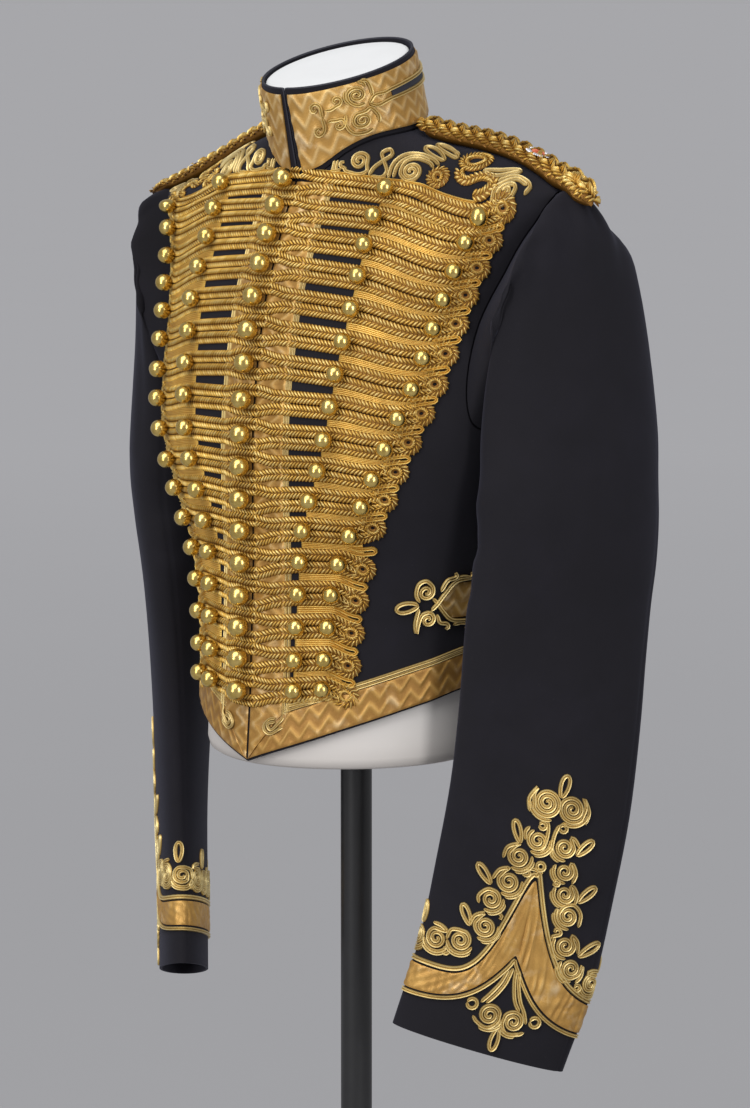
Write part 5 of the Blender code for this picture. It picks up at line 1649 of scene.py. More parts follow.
class TunicColours(bpy.types.PropertyGroup):
    """Colours a user would change."""

    floor: bpy.props.FloatVectorProperty(
        name="Floor", description="Colour of the studio floor", default=(0.44, 0.44, 0.452),
        min=0.0, max=1.0, size=3, subtype="COLOR")
    air: bpy.props.FloatVectorProperty(
        name="Studio Light", description="Colour of the light all round", default=(0.381, 0.381, 0.396),
        min=0.0, max=1.0, size=3, subtype="COLOR")


# -------------------------------------------------------------- making the parts
def level_ring(radius, z, count):
    """Level ring of points about the pole's axis."""
    t = np.linspace(0.0, CIRCLE, count, endpoint=False)
    return np.stack([radius * np.cos(t), radius * np.sin(t), z + 0.0 * t], axis=1)


def make_form():
    """Form with its neck cap and rounded lower edge."""
    turns = np.linspace(0.0, 4.0, 96, endpoint=False)
    turns = np.where(turns > 2.0, turns - 4.0, turns)
    angle = turns * math.pi / 2
    rings = []
    for z in np.concatenate([np.linspace(RIM_Z + 0.004, 1.10, 40), np.linspace(1.108, 1.198, 22)]):
        gap = FORM_GAP + SHOULDER_EASE * min(1.0, max(0.0, (z - 1.10) / 0.03))
        at = body_out(turns, np.full(len(turns), z), -WALL - gap)
        at[:, 0] = np.clip(at[:, 0], -FORM_HALF_W, FORM_HALF_W)
        at[:, 2] += FORM_TILT * at[:, 1] * max(0.0, 1.0 - (z - RIM_Z) / 0.05)
        rings.append(at)
    for z, wide, deep, mid in FORM_NECK:
        rise = z - NECK_DIP * deep * np.cos(angle)
        rings.append(np.stack([wide * np.sin(angle), mid - deep * np.cos(angle), rise], axis=1))
    slope = (COLLAR_BACK_Z - COLLAR_FRONT_Z) / (2 * COLLAR_HALF_D)
    wide = COLLAR_HALF_W - COLLAR_WALL - NECK_FIT
    deep = COLLAR_HALF_D - COLLAR_WALL - NECK_FIT
    for share, drop in NECK_CAP:
        rise = NECK_TOP_Z - drop - slope * share * deep * np.cos(angle)
        rings.append(np.stack([
            share * wide * np.sin(angle), COLLAR_Y - share * deep * np.cos(angle), rise], axis=1))
    low = rings[0].mean(axis=0)
    foot = []
    for share, rise in FORM_FOOT:
        at = low + (rings[0] - low) * share
        at[:, 2] = FLOOR_Z + rise + FORM_TILT * at[:, 1]
        foot.append(at)
    bag = Bag()
    bag.add(*tube(np.array(foot + rings)))
    return bag


def lathe(profile):
    """Turned form of (radius, height) points."""
    bag = Bag()
    bag.add(*tube(np.array([level_ring(max(radius, 0.0002), z, 96) for radius, z in profile])))
    return bag


def net(down, across):
    """Two grids of the values down and across."""
    return np.meshgrid(down, across, indexing="ij")


def laid(place, a, b, low, high, hand=1.0):
    """Sheet between two heights over a charted grid."""
    points, out = surface_frame(place, a, b)
    out = out * hand
    return points + high[..., None] * out, points + low * out


def zigzag(along, across, period):
    """Raised lines of the lace's zigzag, from 0 to 1, their corners rounded."""
    t = (along / period) % 1.0
    rock = 0.6 * np.abs(2.0 * t - 1.0) + 0.4 * (0.5 + 0.5 * np.cos(CIRCLE * t))
    d = (across + ZIGZAG_SWING * rock) / ZIGZAG_SPACING
    return (0.5 + 0.5 * np.cos(CIRCLE * d)) ** 2.6


def lace(bag, place, a, b, along, across, width, sizes, crumple=None, hand=1.0, show=1.0, shade=0.0):
    """Lace sheet over a grid of chart places; `show` is how clear its zigzag is, `shade` darkens it with
    painted shade, and a negative `shade` lightens it with painted light.
    """
    line = show * zigzag(along, across, sizes.zigzag_period)
    edge = np.clip(np.minimum(across, width - across) / LACE_EDGE, 0.0, 1.0)
    high = LACE_TOP_OFF - LACE_EDGE_DROP * (1.0 - edge) + sizes.zigzag_rise * line * edge
    if crumple is not None:
        high = high + crumple * edge
        # Crumples and tucks change the tone too: painted highlight where they rise, painted shade where they
        # sink.
        line = np.clip(line + 420.0 * crumple, 0.0, 1.0)
    top, bottom = laid(place, a, b, LACE_FOOT_OFF, high, hand)
    # Tone of the top: the ground, a painted highlight on the raised zigzag, less the painted shade of
    # `shade`; the underside gets a low tone as painted shade.
    tone = np.concatenate([(LACE_GROUND_AND_HIGHLIGHT[0] - shade + LACE_GROUND_AND_HIGHLIGHT[1] * line).ravel(), np.full(line.size, 0.2)])
    bag.add(*shell(top, bottom), tone=tone)


def frog_line(row, xs, spread):
    """Points of the cloth along a frog row, moved up the cloth by `spread`."""
    z = frog_path(row, xs)
    at = body_point(turn_of(xs, z), z)
    out = body_normal(turn_of(xs, z), z)
    up = unit(np.cross(out, unit(np.gradient(at, axis=0))))
    up *= np.sign(up[:, 2:3])
    return at + np.asarray(spread)[..., None] * up


def over_lace(x):
    """How far braid stands off the cloth at x, higher over the front lace."""
    return ROW_OFF + LACE_CLIMB * (1.0 - ease(np.abs(x), *LACE_CLIMB_X))


def row_ends(row):
    """The x of a row's rosette, and the cloth's length for each step of x there."""
    ox = row[3]
    xs = np.array([ox, ox + 0.004])
    z = frog_path(row, xs)
    probe = body_point(turn_of(xs, z), z)
    per_x = np.linalg.norm(probe[1] - probe[0]) / 0.004
    return ox + TAIL / per_x, per_x


def add_row(bag, row, right, sizes, seed):
    """Two braids of one frog row: they open round the centre ball and meet in a ring at the end."""
    end, per_x = row_ends(row)
    ball_x = -CENTRE_BALL_X if right else CENTRE_BALL_X
    start = ROW_START[right]
    for hand in (1.0, -1.0):
        xs = np.linspace(start, end - 0.0030 / per_x, 60)
        open_up = 1.0 - ease(np.abs(xs - ball_x), *OPEN_X)
        spread = BRAID_SPREAD + (BALL_SPREAD - BRAID_SPREAD) * open_up
        at = frog_line(row, xs, hand * spread)
        points = on_front(at, over_lace(at[:, 0]) + 0.0001 * hand)
        out = body_normal(turn_of(at[:, 0], at[:, 2]), at[:, 2])
        braid(bag, points, out, BRAID_HALF, rise=sizes.braid_rise, seed=seed + int(hand > 0))
    hub = frog_line(row, np.array([end - 0.0025, end - 0.0010, end + 0.0010]), 0.0012)
    at = curl(hub[1], unit(hub[2] - hub[0]))
    points = on_front(at, over_lace(at[:, 0]) + 0.0006)
    out = body_normal(turn_of(at[:, 0], at[:, 2]), at[:, 2])
    braid(bag, points, out, CURL_HALF, RING_PITCH, sizes.braid_rise, seed + 2, True)


def curl(hub, ahead):
    """Ring of braid round a small hole at a row's end."""
    out = body_normal(turn_of(hub[0:1], hub[2:3]), hub[2:3])[0]
    up = unit(np.cross(out, ahead))
    t = np.linspace(0.0, CIRCLE, 49)
    return hub + CURL_R * (1.06 * np.cos(t)[:, None] * ahead + np.sin(t)[:, None] * up)


class TunicOperator:
    """What every maker of this tunic shares."""

    bl_options = {"REGISTER", "UNDO"}
    makes = ()

    def execute(self, context):
        """Make the pieces and confirm them."""
        self.make(context.scene.tunic_sizes)
        for name in self.makes:
            if name not in bpy.data.objects:
                raise RuntimeError("piece %s was not made" % name)
        return {"FINISHED"}


class TUNIC_OT_form(TunicOperator, bpy.types.Operator):
    """Dress form, pole and round base"""

    bl_idname = "tunic.form"
    bl_label = "Form and Stand"
    makes = ("form", "stand_pole", "stand_foot")

    def make(self, sizes):
        """Form, pole and base in place of their plain solids."""
        make_form().piece("form", "white_jersey", "white_form", ("dress_form",), sharp=60.0)
        pole = Bag()
        rings = [level_ring(POLE_R, z, 48) for z in np.linspace(HUB_H + SEAM_GAP, FLOOR_Z - 0.001, 12)]
        rings[-1][:, 2] = FLOOR_Z - SEAM_GAP + FORM_TILT * rings[-1][:, 1]
        pole.add(*tube(np.array(rings)))
        pole.piece("stand_pole", "black_steel", "black_pole", ("pole",))
        profile = (
            (0.0, 0.0), (BASE_R - 0.0015, 0.0), (BASE_R - 0.0003, 0.0004), (BASE_R, 0.0016),
            (BASE_R, BASE_H - 0.0032), (BASE_R - 0.0008, BASE_H - 0.0012), (BASE_R - 0.0030, BASE_H),
            (0.12, BASE_H + 0.0004), (HUB_R, BASE_H + 0.0010), (HUB_R - 0.0020, BASE_H + 0.0026),
            (HUB_R - 0.0050, HUB_H - 0.0020), (HUB_R - 0.0066, HUB_H - 0.0004),
            (HUB_R - 0.0086, HUB_H), (0.0, HUB_H),
        )
        lathe(profile).piece("stand_foot", "black_steel", "black_pole", ("stand_base",), sharp=35.0)


class TUNIC_OT_panels(TunicOperator, bpy.types.Operator):
    """Fronts and backs of the body"""

    bl_idname = "tunic.panels"
    bl_label = "Body Panels"
    makes = ("front_panel_left", "front_panel_right", "back_panel_left", "back_panel_right")

    def make(self, sizes):
        """Creased cloth panels in place of the plain ones."""
        for part, domain, flat, area in (
            ("front", panel_domain(False), (0.265, 0.480), 0.0870),
            ("back", panel_domain(True), (0.200, 0.450), 0.0800),
        ):
            bag = Bag()
            turn, z = domain[..., 0], domain[..., 1]
            bag.add(*shell(body_cloth(turn, z), cloth_at(turn, z, -WALL)))
            made = both_sides(bag, part + "_panel_%s", "navy_broadcloth", "navy_cloth", (part + "_%s",))


class TUNIC_OT_sleeves(TunicOperator, bpy.types.Operator):
    """Two-piece sleeves with gathered heads"""

    bl_idname = "tunic.sleeves"
    bl_label = "Sleeves"
    makes = ("arm_left", "arm_right")

    def make(self, sizes):
        """Creased sleeves open at armhole and cuff."""
        grid, out = sleeve_surface()
        bag = Bag()
        bag.add(*shell(grid, grid - WALL * out, ring=True))
        nodes = ("sleeve_%s",)
        made = both_sides(bag, "arm_%s", "navy_broadcloth", "navy_cloth", nodes, short=True, sharp=70.0)


class TUNIC_OT_collar(TunicOperator, bpy.types.Operator):
    """Stand collar with piping and its black strip"""

    bl_idname = "tunic.collar"
    bl_label = "Collar"
    makes = ("stand_collar", "collar_edge")

    def make(self, sizes):
        """Collar of cloth, then piping round its top and front edges."""
        gap = 0.5 * COLLAR_GAP / NECK_HALF_W
        angles = np.linspace(gap, CIRCLE - gap, 241)
        a, v = np.meshgrid(angles, np.linspace(0.0, 1.0, 17))
        bag = Bag()
        bag.add(*shell(collar_at(a, v, 0.0), collar_at(a, v, -COLLAR_WALL)))
        obj = bag.piece("stand_collar", "navy_broadcloth", "navy_cloth", ("collar",))
        edge = Bag()
        self.piping(edge, gap)
        self.strip(edge)
        edge.piece("collar_edge", "dark_piping", "navy_cloth")

    @staticmethod
    def piping(bag, gap):
        """Thin roll up the front edges and round the top."""
        rise = np.concatenate([np.linspace(0.03, 1.0, 20), np.ones(200), np.linspace(1.0, 0.03, 20)])
        around = np.linspace(gap, CIRCLE - gap, 200)
        turn = np.concatenate([np.full(20, around[0]), around, np.full(20, around[-1])])
        at = collar_at(turn, rise, -0.5 * COLLAR_WALL)
        at[20:-20, 2] += 0.0004
        at = even(at, 420)
        normal = at - np.array([0.0, COLLAR_Y + 0.008, 0.0])
        normal[:, 2] = 0.0
        t = np.linspace(0.0, CIRCLE, 9)[:-1]
        sweep(bag, at, unit(normal), circle(0.0, 0.0, PIPING_R, t))

    @staticmethod
    def strip(bag):
        """Dark strip between the two long runs of the collar's tracing."""
        s = np.linspace(0.0865, 0.1925, 90)
        h = np.interp(s, (0.086, 0.110, 0.150, 0.200), (0.0353, 0.0366, 0.0370, 0.0370))
        a, b = net(s, np.linspace(-STRIP_HALF, STRIP_HALF, 5))
        top, bottom = laid(collar_chart(0.0), a, b + h[:, None], STRIP_OFF, STRIP_OFF + STRIP_T + 0.0 * a)
        for side in ((1, 1, 1), (-1, 1, 1)):
            bag.add(*shell(top * side, bottom * side))


class TUNIC_OT_seams(TunicOperator, bpy.types.Operator):
    """Seam tapes inside the armholes, the centre back and the neck"""

    bl_idname = "tunic.seams"
    bl_label = "Seam Tapes"
    makes = ("armhole_tape_left", "armhole_tape_right", "neck_and_back_tape")

    def make(self, sizes):
        """Flat tapes just inside the cloth where two pieces are sewn together."""
        ring = armhole_loop(0.0006)
        ring = np.vstack([ring, ring[:1]])
        loop = armhole_turns()
        out = body_normal(loop[:, 0], loop[:, 1])
        bag = Bag()
        sweep(bag, ring - (WALL + TAPE_GAP) * out, out, self.tape(0.0028))
        both_sides(bag, "armhole_tape_%s", "navy_broadcloth", "navy_cloth")

        bag = Bag()
        low = hem_z(np.array([2.0]))[0] + 0.004
        high = neckline(np.array([math.pi]))[0, 2] - 0.003
        z = np.linspace(low, high, 90)
        turn = np.full(90, 2.0)
        at = cloth_at(turn, z, -WALL - TAPE_GAP) * np.array([0.0, 1.0, 1.0])
        sweep(bag, at, body_normal(turn, z), self.tape(0.0045))
        angles = np.linspace(0.03, CIRCLE - 0.03, 241)
        at = collar_at(angles, 0.0, -COLLAR_WALL - TAPE_GAP)
        level = unit((at - np.array([0.0, NECK_Y, 0.0])) * np.array([1.0, 1.0, 0.0]))
        at[:, 2] -= 0.0008
        sweep(bag, at, level, self.tape(0.0030))
        bag.piece("neck_and_back_tape", "navy_broadcloth", "navy_cloth")

    @staticmethod
    def tape(half):
        """Cross-section of a tape: its outer face lies on the line it is run along."""
        return ((-half, -TAPE_T), (half, -TAPE_T), (half, 0.0), (-half, 0.0))


class TUNIC_OT_laces(TunicOperator, bpy.types.Operator):
    """Gold lace of the collar, fronts, hem, hips and cuffs"""

    bl_idname = "tunic.laces"
    bl_label = "Gold Lace"
    makes = ("front_band_left", "hem_band_left", "hip_band_left", "collar_band_left", "cuff_band_left")

    def make(self, sizes):
        """Zigzag lace in place of each flat strip."""
        for part, lay in (
            ("front", self.front), ("hem", self.hem), ("hip", self.hip), ("collar", self.collar),
            ("cuff", self.cuff),
        ):
            bag = Bag()
            lay(bag, sizes)
            nodes = (part + "_lace_%s",)
            both_sides(bag, part + "_band_%s", "lace_gold", "gold_lace", nodes, short=part == "cuff")

    @staticmethod
    def front(bag, sizes):
        """Down a front edge."""
        top = neckline(np.array([0.02]))[0, 2] - 0.004
        v, w = net(np.linspace(0.0, 1.0, 320), np.linspace(0.0, 1.0, 25))
        x = FRONT_LACE_GAP + w * FRONT_LACE_SHOWN
        foot = hem_z(turn_of(x, 0.74 + 0.0 * x)) + HEM_EDGE_SHOWN + w * HEM_LACE_SHOWN
        z = foot * (1 - v) + top * v
        # Painted shade: the front lace is toned darker.
        lace(bag, front_cloth, x, z, z, w * FRONT_LACE_SHOWN, FRONT_LACE_SHOWN, sizes, shade=0.14)

    @staticmethod
    def hem(bag, sizes):
        """Along half the hem, tucked under the front lace."""
        v, w = net(np.linspace(0.0, 1.0, 280), np.linspace(0.0, 1.0, 25))
        start = turn_of(FRONT_LACE_GAP - 0.0008 + w[0] * FRONT_LACE_SHOWN, 0.74 + 0.0 * w[0])
        turn = start[None] + (1.9975 - start[None]) * v ** 1.15
        z = hem_z(turn) + HEM_EDGE_SHOWN + w * HEM_LACE_SHOWN
        run = np.interp(turn, GIRTH_TURNS, GIRTH_RUN)
        tuck = -0.0009 * (1.0 - ease(run - run[:1], 0.0008, 0.0022))
        # Painted shade: the hem lace is toned darkest.
        lace(bag, body_cloth, turn, z, run, w * HEM_LACE_SHOWN, HEM_LACE_SHOWN, sizes, tuck, shade=0.28)

    @staticmethod
    def hip(bag, sizes):
        """Short tongue on the hip, pointed at its front end."""
        v, w = net(np.linspace(0.0, 1.0, 56), np.linspace(-1.0, 1.0, 33))
        turn = HIP_START + HIP_REACH * v
        half = HIP_HALF * np.minimum(1.0, 0.25 + 3.0 * v)
        run = np.interp(turn, GIRTH_TURNS, GIRTH_RUN)
        lace(bag, body_cloth, turn, HIP_Z + w * half, run, (w + 1) * HIP_HALF, 2 * HIP_HALF, sizes)

    @staticmethod
    def collar(bag, sizes):
        """Round half the collar; its front end leans back toward the foot."""
        low = LACE_FOOT * COLLAR_RISE
        high = COLLAR_RISE - PIPING
        v, h = net(np.linspace(0.0, 1.0, 180), np.linspace(low, high, 42))
        front = 0.0036 + 0.0022 * (high - h) / (high - low)
        s = front * (1.0 - v) + (math.pi * COLLAR_RADIUS - 0.0003) * v
        # Painted light: the collar lace is toned lighter.
        lace(bag, collar_chart(0.0), s, h, s, h - low, high - low, sizes, shade=-0.08)

    @staticmethod
    def cuff(bag, sizes):
        """Round a cuff, crumpled most about its point."""
        chart = CuffChart()
        s = np.linspace(0.0, chart.girth, 321)
        low, high = cuff_edges(s, chart.girth)
        _, w = net(s, np.linspace(0.0, 1.0, 21))
        u = low[:, None] * (1 - w) + high[:, None] * w
        a = s[:, None] + 0.0 * w
        away = nearest(s - CUFF_POINT_S, chart.girth)
        near = (0.35 + 0.65 * np.exp(-(away / 0.045) ** 2))[:, None]
        swirl = a / 0.00115 + 1.5 * np.sin(a / 0.0047) + 2.2 * np.sin(w * 3.0 + a / 0.009)
        crumple = 0.0009 * near * np.sin(swirl) * (0.55 + 0.45 * np.sin(a / 0.0033 + 4.0 * w))
        crumple = crumple + 0.0004 * np.sin(a / 0.0029 + 7.0 * w) * np.sin(9.0 * w + a / 0.006)
        crumple = np.clip(crumple, -0.0007, 0.0011) - 0.0011 * np.exp(-(away / 0.0009) ** 2)[:, None]
        lace(bag, chart.at, a, u, a, w * CUFF_LACE_W, CUFF_LACE_W, sizes, crumple, hand=-1.0,
             show=0.25)


def cuff_edges(s, girth):
    """Heights of the cuff lace's lower and upper edges at distances round."""
    found = []
    for base, height, centre, reach, power in (
        (CUFF_PLAIN, CUFF_NOTCH, NOTCH_S, NOTCH_REACH, NOTCH_POWER),
        (CUFF_PLAIN + CUFF_LACE_W, CUFF_PEAK, CUFF_POINT_S, CUFF_REACH, CUFF_POWER),
    ):
        away = nearest(s - centre, girth)
        side = (away < 0.0).astype(int)
        fall = (np.abs(away) / np.array(reach)[side]) ** np.array(power)[side]
        found.append(base + height * np.exp(-fall))
    return found


class TUNIC_OT_frogging(TunicOperator, bpy.types.Operator):
    """Seventeen braided frog rows on each front"""

    bl_idname = "tunic.frogging"
    bl_label = "Frogging"
    makes = ("frogging_upper_left", "frogging_lower_left", "frogging_upper_right", "frogging_lower_right")

    def make(self, sizes):
        """Braids and rosettes, half the rows to a piece."""
        for side, right in SIDES:
            for part, rows in (("upper", range(0, 8)), ("lower", range(8, 17))):
                bag = Bag()
                for k in rows:
                    add_row(bag, FROG_ROWS[k], right, sizes, 100 * k + 31 * right)
                if part == "upper":
                    add_yoke_plait(bag, sizes)
                nodes = ["frog_%s_%02d" % (side, k + 1) for k in rows]
                name = "frogging_%s_%s" % (part, side)
                bag.piece(name, "braid_gold", "gold_braid", nodes, right, sharp=80.0)


def add_yoke_plait(bag, sizes):
    """Plaited loops and the plait that joins them above the top row."""
    chart = YokeChart()
    for k, (x, q, radius) in enumerate(YOKE_ROSETTES):
        t = np.linspace(0.0, CIRCLE, 49)
        flat = circle(x, q, radius, t) * MM
        points, out = surface_frame(chart.at, flat[:, 0], flat[:, 1])
        braid(bag, points, out, 0.0044, RING_PITCH, sizes.braid_rise, 900 + k, True)
    flat = spline(np.array(YOKE_PLAIT) * MM, 60)
    points, out = surface_frame(chart.at, flat[:, 0], flat[:, 1])
    braid(bag, points, out, 0.0041, rise=sizes.braid_rise, seed=950)


class TUNIC_OT_buttons(TunicOperator, bpy.types.Operator):
    """Eighty-five gilt ball buttons"""

    bl_idname = "tunic.buttons"
    bl_label = "Ball Buttons"
    makes = ("ball_buttons_left", "ball_buttons_right", "ball_buttons_centre")

    def make(self, sizes):
        """Balls standing on their braids."""
        side = Bag()
        centre = Bag()
        for row in FROG_ROWS:
            for bag, x, radius in (
                (side, row[1], sizes.button_radius), (side, row[3], sizes.button_radius),
                (centre, -CENTRE_BALL_X, sizes.centre_radius),
            ):
                xs = np.array([x])
                z = frog_path(row, xs)
                out = body_normal(turn_of(xs, z), z)[0]
                foot = on_front(np.array([[x, 0.0, z[0]]]), over_lace(xs))[0]
                ball(bag, foot + (BALL_STAND + radius - BALL_SINK) * out, out, radius)
        both_sides(side, "ball_buttons_%s", "gilt_brass", "gold_braid")
        centre.piece("ball_buttons_centre", "gilt_brass", "gold_braid", right=True)


class TUNIC_OT_cords(TunicOperator, bpy.types.Operator):
    """Smooth cords between the frog rows and along the edges"""

    bl_idname = "tunic.cords"
    bl_label = "Edge and Filling Cords"
    makes = ("filling_cords_left", "edge_cords_left")

    def make(self, sizes):
        """Folded cords in the gaps, then the long edge cords."""
        def place(x, z):
            return front_cloth(x, z, 0.0003)

        bag = Bag()
        for upper, lower in zip(FROG_ROWS[:-1], FROG_ROWS[1:]):
            self.filling(bag, upper, lower)
            end_a, per_a = row_ends(upper)
            end_b, per_b = row_ends(lower)
            start = 0.5 * (upper[3] + lower[3]) + 0.002
            stop = 0.5 * (end_a + end_b) + 0.0025 / per_b
            xs = np.linspace(start, stop, 14)
            middle = 0.5 * (frog_path(upper, xs) + frog_path(lower, xs))
            rise = np.abs(body_normal(turn_of(xs, middle), middle)[:, 2])
            gap = 0.0021 * np.sqrt(np.clip(1.0 - rise ** 2, 0.15, 1.0))
            there = np.stack([xs, middle + gap], axis=1)
            back = np.stack([xs, middle - gap], axis=1)[::-1]
            bend = np.array([[stop + 0.0020 / per_a, middle[-1]]])
            flat = through(np.vstack([there, bend, back]), 6)
            trace(bag, place, flat, 0.0032, 0.0022, lift=0.0006)
        xs = np.linspace(0.012, FROG_ROWS[0][3] - 0.006, 60)
        at = frog_line(FROG_ROWS[0], xs, 0.0101)
        trace(bag, place, np.stack([at[:, 0], at[:, 2]], axis=1), 0.0030, 0.0016)
        both_sides(bag, "filling_cords_%s", "filling_gold", "gold_braid")

        def over_edge(x, z):
            low = 1.0 - ease(z, 0.7600, 0.7700)
            off = 0.0006 * low + 0.0020 * (1.0 - ease(x, 0.0290, 0.0325)) * low
            return front_cloth(x, z, off)

        bag = Bag()
        for off in (-0.00145, 0.00145):
            x = FRONT_LACE_W + 0.0030 + off
            corner = np.array([
                (x, 0.7560), (x - 0.0008, 0.7480 - off), (0.0235, 0.7398 - off), (0.0190 - off, 0.7412 - off),
                (0.0182 - off, 0.7444), (0.0208, 0.7476 + off), (0.0262, 0.7490 + off),
            ])
            down = np.array([(x, z) for z in np.linspace(1.178, 0.762, 90)])
            trace(bag, over_edge, through(np.vstack([down, corner]), 4), EDGE_CORD_W, 0.0012)
            s = np.linspace(0.0262, GIRTH_RUN[-1] - 0.0008, 140)
            turn = np.interp(s, GIRTH_RUN, GIRTH_TURNS)
            hem = np.stack([s, hem_z(turn) + HEM_PIPING + HEM_LACE_W + 0.0032 + off], axis=1)
            trace(bag, waist_chart(0.0003), hem, EDGE_CORD_W, 0.0014, lift=0.0002)
        both_sides(bag, "edge_cords_%s", "tracing_braid", "gold_braid")

    @staticmethod
    def filling(bag, upper, lower):
        """Four fine cords side by side in the gap between two rows."""
        inner = 0.5 * (upper[1] + lower[1]) - 0.0035
        outer = 0.5 * (row_ends(upper)[0] + row_ends(lower)[0]) - 0.004
        xs = np.linspace(inner, outer, 34)
        reach = BRAID_SPREAD + BRAID_HALF - 0.0005
        edges = []
        for row, off in ((upper, -reach), (lower, reach)):
            at = frog_line(row, np.linspace(inner - 0.01, outer + 0.01, 90), off)
            edges.append(np.interp(xs, at[:, 0], at[:, 2]))
        high, low = edges
        w = np.linspace(0.0, 1.0, 13)[None]
        z = high[:, None] * (1 - w) + low[:, None] * w
        x = xs[:, None] + 0.0 * w
        ridge = np.abs(np.sin(4 * math.pi * w)) + 0.0 * x
        end = np.sqrt(np.clip((x - inner) / 0.0016, 0.0, 1.0))
        top = front_cloth(x, z, 0.0003 + (0.0005 + 0.0008 * ridge) * end)
        # Tone: painted highlight on each cord's ridge, painted shade between the cords and on the underside.
        tone = np.concatenate([(0.30 + 0.45 * ridge).ravel(), np.full(ridge.size, 0.2)])
        bag.add(*shell(top, front_cloth(x, z, 0.0002)), tone=tone)


class TUNIC_OT_tracing(TunicOperator, bpy.types.Operator):
    """Tracing braid figures on collar, yoke, hips, hem corners and cuffs"""

    bl_idname = "tunic.tracing"
    bl_label = "Tracing Braid"
    makes = ("collar_tracing_left", "yoke_tracing_left", "hip_tracing_left", "cuff_tracing_left")

    def make(self, sizes):
        """Coils, leaves and loops laid on the cloth."""
        for name, place, figures, lift, rise in (
            ("collar_tracing_%s", collar_chart(0.0014), COLLAR_FIGURES, 0.0005, 0.0022),
            ("yoke_tracing_%s", YokeChart().at, YOKE_FIGURES, 0.0, 0.0018),
            ("hip_tracing_%s", waist_chart(0.0014), HIP_FIGURES, 0.0, 0.0018),
            ("corner_tracing_%s", waist_chart(0.0003), HEM_FIGURES, 0.0, TRACE_RISE),
        ):
            bag = Bag()
            draw(bag, place, figures, lift, rise=rise)
            both_sides(bag, name, "tracing_braid", "gold_braid")
        chart = CuffChart()
        bag = Bag()
        draw(bag, chart.at, with_wraps(CUFF_FIGURES), 0.0003, -1.0, 0.0018)
        s = np.linspace(-0.5 * chart.girth, 0.5 * chart.girth, 300) + 0.005
        low, high = cuff_edges(s, chart.girth)
        for edge, off, width in ((low, -0.0031, 0.0034), (high, 0.0033, 0.0042)):
            lift = off * np.sqrt(1.0 + np.gradient(edge, s) ** 2)
            flat = np.stack([s, edge + np.clip(lift, -0.009, 0.011)], axis=1)
            trace(bag, chart.at, flat, width, 0.0020, 0.0003, hand=-1.0)
        both_sides(bag, "cuff_tracing_%s", "tracing_braid", "gold_braid", short=True)


def shoulder_line(xs):
    """Top of the shoulder and of the sleeve head at distances from the middle."""
    rows = sleeve_rows(60)
    tilt = np.radians(rows[:, 3])
    head = np.radians(rows[:, 5])
    tops = rows[:, :3] + rows[:, 6:7] * np.stack([
        np.sin(tilt) * np.sin(head), -np.sin(tilt) * np.cos(head), np.cos(tilt)], axis=1)
    zs = np.linspace(1.2120, 1.1440, 60)
    ridge = smooth_table(TORSO, zs)
    x = np.concatenate([ridge[:, 0], tops[:14, 0]])
    z = np.concatenate([zs, tops[:14, 2]])
    order = np.argsort(x)
    return np.interp(xs, x[order], z[order])


